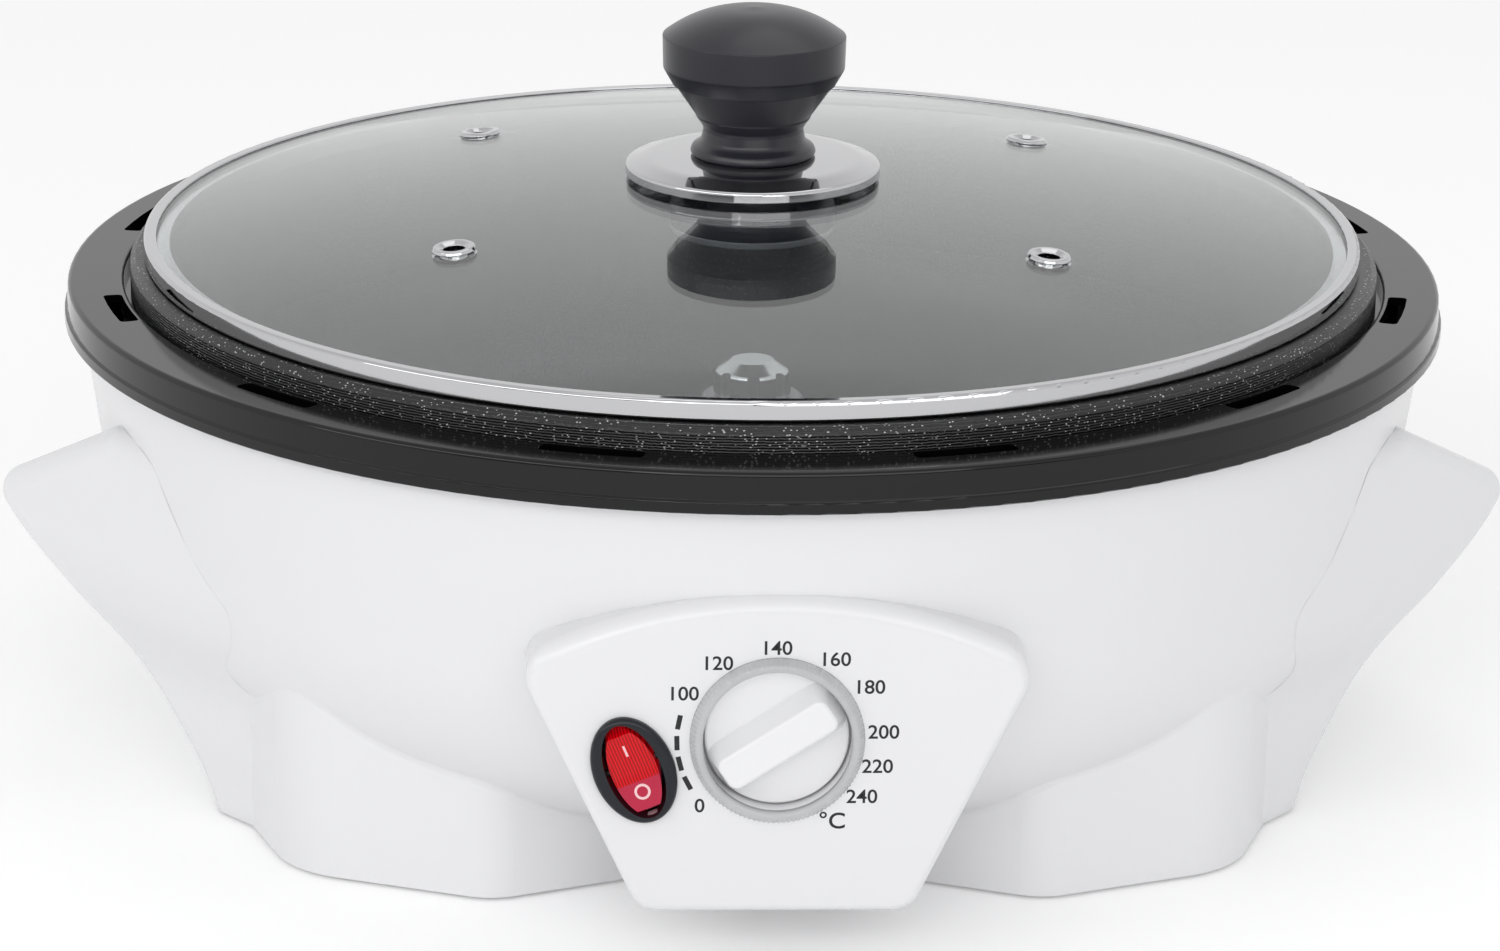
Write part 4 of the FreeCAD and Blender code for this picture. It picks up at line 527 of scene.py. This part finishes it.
@dataclass
class Paintbox:
    """Makes each finish's material once and hands it out."""

    made: dict[str, bpy.types.Material] = field(default_factory=dict)

    def of(self, finish: Finish) -> bpy.types.Material:
        """The material of a finish.

        Args:
            finish: One of the finishes.

        Returns:
            Its material, which every piece of that finish shares.
        """
        if finish.name not in self.made:
            self.made[finish.name] = finish.material()
        return self.made[finish.name]

    def paint(self, piece: bpy.types.Object, finish: Finish) -> None:
        """Give a piece one finish all over."""
        piece.data.materials.clear()
        piece.data.materials.append(self.of(finish))


# ------------------------------------------------------------------ mesh helpers
def piece_from(name: str, mesh: bmesh.types.BMesh, smooth: bool = True) -> bpy.types.Object:
    """Turn a finished bmesh into a linked object.

    Args:
        name: The piece's name.
        mesh: The bmesh, which is freed.
        smooth: Shade its faces smooth.

    Returns:
        The new object, at the origin.
    """
    bmesh.ops.recalc_face_normals(mesh, faces=mesh.faces)
    for face in mesh.faces:
        face.smooth = smooth
    data = bpy.data.meshes.new(name)
    mesh.to_mesh(data)
    mesh.free()
    made = bpy.data.objects.new(name, data)
    bpy.context.scene.collection.objects.link(made)
    return made


def spun_profile(points: list[tuple[float, float]], steps: int) -> bmesh.types.BMesh:
    """Spin a closed (radius, height) outline a full turn about the Z axis.

    Args:
        points: The outline's corners, in metres.
        steps: Segments in the full turn.

    Returns:
        The closed solid.
    """
    mesh = bmesh.new()
    corners = [mesh.verts.new((radius, 0.0, height)) for radius, height in points]
    for first, second in zip(corners, corners[1:] + corners[:1]):
        mesh.edges.new((first, second))
    bmesh.ops.spin(mesh, geom=mesh.verts[:] + mesh.edges[:], cent=(0.0, 0.0, 0.0),
                   axis=(0.0, 0.0, 1.0), angle=math.tau, steps=steps, use_merge=True,
                   use_duplicate=False)
    bmesh.ops.remove_doubles(mesh, verts=mesh.verts, dist=MERGE_DISTANCE)
    return mesh


def flat_ring(steps: int, radii: tuple[float, float]) -> bmesh.types.BMesh:
    """A flat ring in the XY plane.

    Args:
        steps: Corners of each rim.
        radii: The two rims' radii.

    Returns:
        The ring's faces.
    """
    mesh = bmesh.new()
    rims = []
    for radius in radii:
        circle = bmesh.ops.create_circle(mesh, segments=steps, radius=radius)
        rims += [edge for edge in mesh.edges if edge.verts[0] in circle["verts"]]
    bmesh.ops.bridge_loops(mesh, edges=rims)
    return mesh


def thicken(mesh: bmesh.types.BMesh, depth: float) -> None:
    """Make faces that look forwards a solid, by a wall that runs back from them.

    Args:
        mesh: The faces, changed in place.
        depth: The wall's depth along +Y.
    """
    wall = bmesh.ops.extrude_face_region(mesh, geom=mesh.faces[:])["geom"]
    moved = [part for part in wall if isinstance(part, bmesh.types.BMVert)]
    bmesh.ops.translate(mesh, verts=moved, vec=(0.0, depth, 0.0))


def switch_centre(level: float) -> Vector:
    """The middle of the switch, at the given y."""
    low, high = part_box("switch_housing")
    return Vector(((low.x + high.x) / 2, level, (low.z + high.z) / 2))


def lettering(text: str, size: float, thickness: float) -> bpy.types.Mesh:
    """Solid text in the XY plane, centred on the origin.

    Args:
        text: What it says.
        size: The font size, in metres.
        thickness: The full thickness, in metres.

    Returns:
        The text as a mesh.
    """
    curve = bpy.data.curves.new("lettering", "FONT")
    curve.body = text
    curve.size = size
    curve.extrude = thickness / 2
    curve.offset = size * LETTER_GROWTH
    curve.align_x = "CENTER"
    curve.align_y = "CENTER"
    curve.resolution_u = 6
    holder = bpy.data.objects.new("lettering", curve)
    bpy.context.scene.collection.objects.link(holder)
    graph = bpy.context.evaluated_depsgraph_get()
    mesh = bpy.data.meshes.new_from_object(holder.evaluated_get(graph))
    bpy.data.objects.remove(holder)
    bpy.data.curves.remove(curve)
    return mesh


# ------------------------------------------------------------------ sub-assemblies
class Side(Enum):
    """Where the rocker's marks lie along it."""

    TOP = 1.0
    BOTTOM = -1.0


@dataclass
class FrameDress:
    """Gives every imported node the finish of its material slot."""

    paintbox: Paintbox

    def dress(self, frame: dict[str, Any]) -> None:
        """Paint the nodes.
        """
        for row in frame["record"]["subparts"]:
            node = frame["nodes"][row["node"]]
            self.paintbox.paint(node, FINISHES[row["material_slot"]])
            LOG.info("dressed %s as %s", row["node"], row["material_slot"])


@dataclass
class DialPrint:
    """Numbers, dashes and unit printed on the panel round the dial."""

    paintbox: Paintbox
    number_size: float = 4.4 * MM
    unit_size: float = 5.2 * MM
    letter_width: float = 1.04
    ink: float = 0.05 * MM
    dash_radius: float = 21.6 * MM
    dash_length: float = 3.3 * MM
    dash_width: float = 1.1 * MM
    dash_first: float = 168.9
    dash_step: float = 12.7
    dash_count: int = 4
    # each label's text, its angle in degrees from +X and its distance from the dial's centre in mm
    numbers_at: tuple[tuple[str, float, float], ...] = (
        ("0", 222.5, 22.5), ("100", 152.6, 22.9), ("120", 126.8, 21.8), ("140", 91.2, 20.9),
        ("160", 56.5, 22.0), ("180", 31.5, 23.0), ("200", 4.3, 22.9), ("220", -15.9, 22.5),
        ("240", -35.5, 22.6))
    unit_at: tuple[str, float, float] = ("°C", -57.3, 22.3)

    def on_panel(self, angle: float, radius: float, face: float) -> Matrix:
        """Placement of a flat mark on the panel.

        Args:
            angle: Degrees from +X, anticlockwise seen from the front.
            radius: Distance from the dial's centre.
            face: The panel face's y.

        Returns:
            The matrix that turns XY into the panel's plane at that spot.
        """
        turn = math.radians(angle)
        spot = Vector((radius * math.cos(turn), face, DIAL_HEIGHT + radius * math.sin(turn)))
        return Matrix.Translation(spot) @ TO_PANEL

    def numbers(self, face: float) -> bpy.types.Object:
        """The numbers and the unit as one piece.

        Args:
            face: The panel face's y.

        Returns:
            The printed numbers.
        """
        mesh = bmesh.new()
        labels = [(*mark, self.number_size) for mark in self.numbers_at]
        labels.append((*self.unit_at, self.unit_size))
        wider = Matrix.Diagonal((self.letter_width, 1.0, 1.0, 1.0))
        for text, angle, radius, size in labels:
            words = lettering(text, size, self.ink)
            words.transform(self.on_panel(angle, radius * MM, face) @ wider)
            mesh.from_mesh(words)
            bpy.data.meshes.remove(words)
        return piece_from("dial_numbers", mesh, smooth=False)

    def dashes(self, face: float) -> bpy.types.Object:
        """The four dashes between 0 and 100.

        Args:
            face: The panel face's y.

        Returns:
            The printed dashes.
        """
        mesh = bmesh.new()
        for index in range(self.dash_count):
            angle = self.dash_first + self.dash_step * index
            place = self.on_panel(angle, self.dash_radius, face)
            place = place @ Matrix.Rotation(math.radians(angle), 4, "Z")
            size = Matrix.Diagonal((self.dash_width, self.dash_length, self.ink, 1.0))
            bmesh.ops.create_cube(mesh, size=1.0, matrix=place @ size)
        return piece_from("dial_dashes", mesh, smooth=False)

    def build(self, face: float) -> None:
        """Print both on the panel.

        Args:
            face: The panel face's y.
        """
        for printed in (self.numbers(face), self.dashes(face)):
            self.paintbox.paint(printed, PRINT_INK)
            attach(printed, "base")
            LOG.info("built %s", printed.name)


@dataclass
class RibbedBezel:
    """Grey ring round the dial, knurled on its slope."""

    paintbox: Paintbox
    width: float = 2.8 * MM
    # the outline's corners in mm: how far in from a rim, and how far from the foot or the top
    foot_mm: tuple[tuple[float, float], ...] = ((0.0, 0.0), (0.0, 0.7), (0.25, 1.1))
    slope_mm: tuple[tuple[float, float], ...] = ((0.7, 0.45), (1.05, 0.1), (1.3, 0.0))
    bore_mm: tuple[tuple[float, float], ...] = ((0.55, 0.0), (0.2, 0.15), (0.0, 0.5))
    ribbed_width: float = 1.2 * MM
    ribbed_from: float = 0.6 * MM
    rib_count: int = 110
    rib_depth: float = 0.22 * MM
    rib_fall: float = 0.3
    steps_per_rib: int = 4

    def build(self) -> None:
        """Spin the ring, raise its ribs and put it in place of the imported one."""
        low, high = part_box("dial_bezel")
        outer = (high.x - low.x) / 2
        height = high.y - low.y
        inner = outer - self.width
        outline = [(inner, 0.0)]
        outline += [(outer - inset * MM, rise * MM) for inset, rise in self.foot_mm]
        outline += [(outer - inset * MM, height - drop * MM) for inset, drop in self.slope_mm]
        outline += [(inner + inset * MM, height - drop * MM) for inset, drop in self.bore_mm]
        mesh = spun_profile(outline, self.rib_count * self.steps_per_rib)
        for corner in mesh.verts:
            radius = corner.co.to_2d().length
            if radius <= outer - self.ribbed_width or corner.co.z <= self.ribbed_from:
                continue
            turn = math.atan2(corner.co.y, corner.co.x) * self.rib_count
            drop = self.rib_depth * (0.5 - 0.5 * math.cos(turn))
            corner.co.xy *= (radius - drop) / radius
            corner.co.z -= drop * self.rib_fall
        place = Matrix.Translation((0.0, high.y, DIAL_HEIGHT)) @ TO_PANEL
        bmesh.ops.transform(mesh, matrix=place, verts=mesh.verts)
        ring = piece_from("ribbed_bezel", mesh)
        self.paintbox.paint(ring, FINISHES["bezel_grey"])
        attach(ring, "base")
        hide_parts("dial_bezel")
        LOG.info("built %s", ring.name)


@dataclass
class RockerMarks:
    """The I and O marks on the rocker's two faces."""

    paintbox: Paintbox
    mark_offset: float = 5.0 * MM
    line_width: float = 0.5 * MM
    line_length: float = 2.7 * MM
    ring_outer: float = 1.75 * MM
    ring_inner: float = 1.2 * MM
    sink: float = 0.05 * MM
    proud: float = 0.03 * MM
    ring_steps: int = 40
    line_cuts: int = 6

    def flat_mark(self, side: Side) -> bmesh.types.BMesh:
        """The mark's flat outline in the XY plane.

        Args:
            side: TOP gives the line, BOTTOM the ring.

        Returns:
            The faces of the mark.
        """
        if side is Side.BOTTOM:
            return flat_ring(self.ring_steps, (self.ring_outer, self.ring_inner))
        mesh = bmesh.new()
        bmesh.ops.create_grid(mesh, x_segments=1, y_segments=self.line_cuts, size=0.5)
        bmesh.ops.scale(mesh, vec=(self.line_width, self.line_length, 1.0), verts=mesh.verts)
        return mesh

    def laid(self, side: Side, rocker: BVHTree, centre: Vector) -> bmesh.types.BMesh:
        """The mark laid on the rocker's face and given a thickness.

        Args:
            side: Which mark.
            rocker: The rocker's surface.
            centre: The switch's centre on the panel face.

        Returns:
            The solid mark.
        """
        mesh = self.flat_mark(side)
        for corner in mesh.verts:
            along = corner.co.y + side.value * self.mark_offset
            spot = centre + SWITCH_ACROSS * corner.co.x + SWITCH_UP * along
            spot.y -= RAY_START
            hit = rocker.ray_cast(spot, Vector((0.0, 1.0, 0.0)))[0]
            corner.co = Vector((spot.x, hit.y - self.proud, spot.z))
        thicken(mesh, self.proud + self.sink)
        return mesh

    def build(self, frame: dict[str, Any], face: float) -> None:
        """Lay both marks.

        Args:
            face: The panel face's y.
        """
        node = frame["nodes"]["switch_rocker"]
        rocker = BVHTree.FromObject(node, bpy.context.evaluated_depsgraph_get())
        centre = switch_centre(face)
        for side, name in ((Side.TOP, "rocker_on_mark"), (Side.BOTTOM, "rocker_off_mark")):
            mark = piece_from(name, self.laid(side, rocker, centre), smooth=False)
            self.paintbox.paint(mark, MARK_INK)
            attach(mark, "rocker")
            LOG.info("built %s", name)


@dataclass
class SwitchSeat:
    """Thin raised seat under the switch's bezel, which hides the corners of its square hole."""

    paintbox: Paintbox
    hole_short: float = 6.5 * MM
    hole_long: float = 11.2 * MM
    hole_corner: float = 2.5 * MM
    overlap: float = 0.45 * MM
    bezel_short: float = 8.3 * MM
    bezel_long: float = 12.0 * MM
    proud: float = 0.06 * MM
    sink: float = 0.3 * MM
    steps: int = 160
    rims: tuple[float, float] = (1.0, 2.0)  # before the rims take the bezel's and the hole's form
    least: float = 1e-9  # keeps a straight way from a division by nothing

    def hole_reach(self, turn: float) -> float:
        """Distance from the centre to the edge of the hole, with the overlap, in a direction.

        Args:
            turn: Angle from the hole's short axis, in radians.

        Returns:
            The distance.
        """
        across, up = abs(math.cos(turn)), abs(math.sin(turn))
        short, long = self.hole_short + self.overlap, self.hole_long + self.overlap
        corner = self.hole_corner + self.overlap
        reach = min(side / max(way, self.least) for side, way in ((short, across), (long, up)))
        x, y = short - corner, long - corner
        if reach * across > x and reach * up > y:  # past both straight sides: on the round corner
            along = x * across + y * up
            reach = along + math.sqrt(corner ** 2 - (x * x + y * y - along * along))
        return reach

    def build(self, face: float) -> None:
        """Lay the seat on the panel.

        Args:
            face: The panel face's y.
        """
        mesh = flat_ring(self.steps, self.rims)
        centre = switch_centre(face - self.proud)
        for corner in mesh.verts:
            turn = math.atan2(corner.co.y, corner.co.x)
            across, up = math.cos(turn), math.sin(turn)
            reach = 1.0 / math.hypot(across / self.bezel_short, up / self.bezel_long)
            if corner.co.length > sum(self.rims) / 2:
                reach = max(self.hole_reach(turn), reach + self.proud)
            corner.co = centre + SWITCH_ACROSS * (reach * across) + SWITCH_UP * (reach * up)
        thicken(mesh, self.sink)
        seat = piece_from("switch_seat", mesh, smooth=False)
        self.paintbox.paint(seat, FINISHES["shell_white"])
        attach(seat, "base")
        LOG.info("built %s", seat.name)


@dataclass
class WallLand:
    """Stretch of the housing's wall beside the panel, where its window reaches past the panel."""

    paintbox: Paintbox
    left: float = -47.0 * MM
    right: float = -38.0 * MM
    bottom: float = 27.0 * MM
    top: float = 52.0 * MM
    sink: float = 0.06 * MM
    wall: float = 1.0 * MM
    columns: int = 14
    rows: int = 36
    behind: float = 0.4

    def build(self, frame: dict[str, Any]) -> None:
        """Take the wall's form from the back, which mirrors the front, and fill the stretch.
        """
        node = frame["nodes"]["base_shell"]
        shell = BVHTree.FromObject(node, bpy.context.evaluated_depsgraph_get())
        mesh = bmesh.new()
        bmesh.ops.create_grid(mesh, x_segments=self.columns, y_segments=self.rows, size=0.5)
        for corner in mesh.verts:
            x = self.left + (corner.co.x + 0.5) * (self.right - self.left)
            z = self.bottom + (corner.co.y + 0.5) * (self.top - self.bottom)
            hit = shell.ray_cast(Vector((x, self.behind, z)), Vector((0.0, -1.0, 0.0)))[0]
            corner.co = Vector((x, self.sink - hit.y, z))
        thicken(mesh, self.wall)
        land = piece_from("wall_land", mesh)
        self.paintbox.paint(land, FINISHES["shell_white"])
        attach(land, "base")
        LOG.info("built %s", land.name)


# ------------------------------------------------------------------ studio
@dataclass(frozen=True)
class Lamp:
    """A soft lamp, set by how much it adds to a white face that looks at it."""

    name: str
    place: tuple[float, float, float]
    width: float
    height: float
    gain: float

    def build(self, target: Vector) -> None:
        """Hang the lamp.

        Args:
            target: What it shines at.
        """
        data = bpy.data.lights.new(self.name, "AREA")
        data.shape = "RECTANGLE"
        data.size = self.width
        data.size_y = self.height
        way = target - Vector(self.place)
        data.energy = self.gain * math.pi ** 2 * way.length_squared
        lamp = bpy.data.objects.new(self.name, data)
        lamp.location = self.place
        lamp.rotation_euler = way.to_track_quat("-Z", "Y").to_euler()
        bpy.context.scene.collection.objects.link(lamp)


@dataclass
class Studio:
    """White floor and backdrop, soft lamps and the camera."""

    target: tuple[float, float, float] = (0.0, 0.0, 59.1 * MM)
    distance: float = 1.2378
    elevation: float = 18.0
    azimuth: float = 2.3
    roll: float = 0.75
    lens: float = 121.44
    sensor: float = 36.0
    shift_x: float = -0.0005
    shift_y: float = 0.0037
    floor_size: float = 40.0
    floor_colour: str = "FAFAFA"
    floor_glow: float = 0.16
    daylight: float = 0.66
    # how bright the surroundings look in glass and metal
    zenith: float = 0.82
    back_mirror: float = 0.92
    front_mirror: float = 0.1
    # where each of them sets in, as a share of the view direction's height or depth
    zenith_span: tuple[float, float] = (0.35, 0.8)
    back_span: tuple[float, float] = (0.1, 0.7)
    front_span: tuple[float, float] = (-0.75, -0.45)
    front_top_span: tuple[float, float] = (0.12, 0.2)
    lamps: tuple[Lamp, ...] = (
        Lamp("front_softbox", (0.2, -1.9, 0.9), 1.9, 1.1, 0.22),
        Lamp("edge_strip", (-1.3, -1.3, 1.1), 2.4, 0.3, 0.17),
        Lamp("top_softbox", (0.3, 0.4, 1.8), 1.2, 1.2, 0.10))

    def camera(self) -> None:
        """Set up the camera."""
        data = bpy.data.cameras.new("camera")
        data.lens = self.lens
        data.sensor_width = self.sensor
        data.shift_x = self.shift_x
        data.shift_y = self.shift_y
        rise, turn = math.radians(self.elevation), math.radians(self.azimuth)
        target = Vector(self.target)
        place = target + self.distance * Vector((
            -math.cos(rise) * math.sin(turn), -math.cos(rise) * math.cos(turn), math.sin(rise)))
        look = (target - place).to_track_quat("-Z", "Y").to_matrix().to_4x4()
        camera = bpy.data.objects.new("camera", data)
        camera.matrix_world = (Matrix.Translation(place) @ look
                               @ Matrix.Rotation(math.radians(self.roll), 4, "Z"))
        bpy.context.scene.collection.objects.link(camera)
        bpy.context.scene.camera = camera

    def seen(self, tree: bpy.types.NodeTree) -> bpy.types.NodeSocket:
        """Tell the rays that show a surface from the rays that light the object.

        Args:
            tree: The node tree of that surface.

        Returns:
            1 for a ray from the camera, out of a mirror or through glass, and 0 for any other.
        """
        path = add_node(tree, "ShaderNodeLightPath")
        either = add_node(tree, "ShaderNodeMath", {0: path.outputs["Is Camera Ray"],
                                                   1: path.outputs["Is Glossy Ray"]},
                          operation="MAXIMUM").outputs[0]
        return add_node(tree, "ShaderNodeMath", {0: either, 1: path.outputs["Is Transmission Ray"]},
                        operation="MAXIMUM").outputs[0]

    def floor(self) -> None:
        """Lay the floor: white paper that keeps the shadow."""
        mesh = bmesh.new()
        bmesh.ops.create_grid(mesh, x_segments=1, y_segments=1, size=self.floor_size / 2)
        floor = piece_from("floor", mesh)
        made = bpy.data.materials.new("White paper")
        made.use_nodes = True
        tree = made.node_tree
        tree.nodes.clear()
        paper = add_node(tree, "ShaderNodeBsdfDiffuse", {"Color": linear(self.floor_colour)})
        strength = add_node(tree, "ShaderNodeMath", {0: self.seen(tree), 1: self.floor_glow},
                            operation="MULTIPLY").outputs[0]
        glow = add_node(tree, "ShaderNodeEmission", {"Strength": strength})
        both = add_node(tree, "ShaderNodeAddShader",
                        {0: paper.outputs["BSDF"], 1: glow.outputs["Emission"]})
        add_node(tree, "ShaderNodeOutputMaterial", {"Surface": both.outputs["Shader"]})
        floor.data.materials.append(made)

    def world(self) -> None:
        """Set white surroundings: plain light, and in reflections a softer ceiling and front."""
        world = bpy.data.worlds.new("studio")
        bpy.context.scene.world = world
        world.use_nodes = True
        tree = world.node_tree
        tree.nodes.clear()
        path = add_node(tree, "ShaderNodeLightPath")
        way = add_node(tree, "ShaderNodeTexCoord").outputs["Generated"]
        height = add_node(tree, "ShaderNodeSeparateXYZ", {0: way}).outputs["Z"]
        depth = add_node(tree, "ShaderNodeSeparateXYZ", {0: way}).outputs["Y"]
        ceiling, backdrop, front, above_front = (
            add_node(tree, "ShaderNodeMapRange", {
                "Value": way_part, "From Min": span[0], "From Max": span[1], "To Min": before,
                "To Max": after}, interpolation_type="SMOOTHSTEP").outputs["Result"]
            for way_part, span, before, after in (
                (height, self.zenith_span, 1.0, self.zenith),
                (depth, self.back_span, 1.0, self.back_mirror),
                (depth, self.front_span, self.front_mirror, 1.0),
                (height, self.front_top_span, 0.0, 1.0)))
        front = add_node(tree, "ShaderNodeMath", {0: front, 1: above_front},
                         operation="MAXIMUM").outputs[0]
        for share in (backdrop, front):
            ceiling = add_node(tree, "ShaderNodeMath", {0: ceiling, 1: share},
                               operation="MULTIPLY").outputs[0]
        white, mirror, light = (
            add_node(tree, "ShaderNodeBackground",
                     {"Color": WHITE, "Strength": strength}).outputs["Background"]
            for strength in (1.0, ceiling, self.daylight))
        through = add_node(tree, "ShaderNodeMath", {0: path.outputs["Is Glossy Ray"],
                                                    1: path.outputs["Is Transmission Ray"]},
                           operation="MAXIMUM").outputs[0]
        inner = add_node(tree, "ShaderNodeMixShader", {0: through, 1: light, 2: mirror})
        outer = add_node(tree, "ShaderNodeMixShader", {
            0: path.outputs["Is Camera Ray"], 1: inner.outputs["Shader"], 2: white})
        add_node(tree, "ShaderNodeOutputWorld", {"Surface": outer.outputs["Shader"]})

    def build(self) -> None:
        """Set up the whole studio."""
        self.camera()
        self.floor()
        self.world()
        for lamp in self.lamps:
            lamp.build(Vector(self.target))
        bpy.context.scene.view_settings.view_transform = "Standard"
        LOG.info("built the studio")


def main() -> None:
    """Load the frame, dress it and set up the studio."""
    logging.basicConfig(level=logging.INFO, format="%(name)s: %(message)s")
    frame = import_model()
    paintbox = Paintbox()
    panel_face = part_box("switch_housing")[0].y + BEZEL_STAND
    FrameDress(paintbox).dress(frame)
    DialPrint(paintbox).build(panel_face)
    RibbedBezel(paintbox).build()
    RockerMarks(paintbox).build(frame, panel_face)
    SwitchSeat(paintbox).build(panel_face)
    WallLand(paintbox).build(frame)
    Studio().build()


if __name__ == "__main__":
    main()
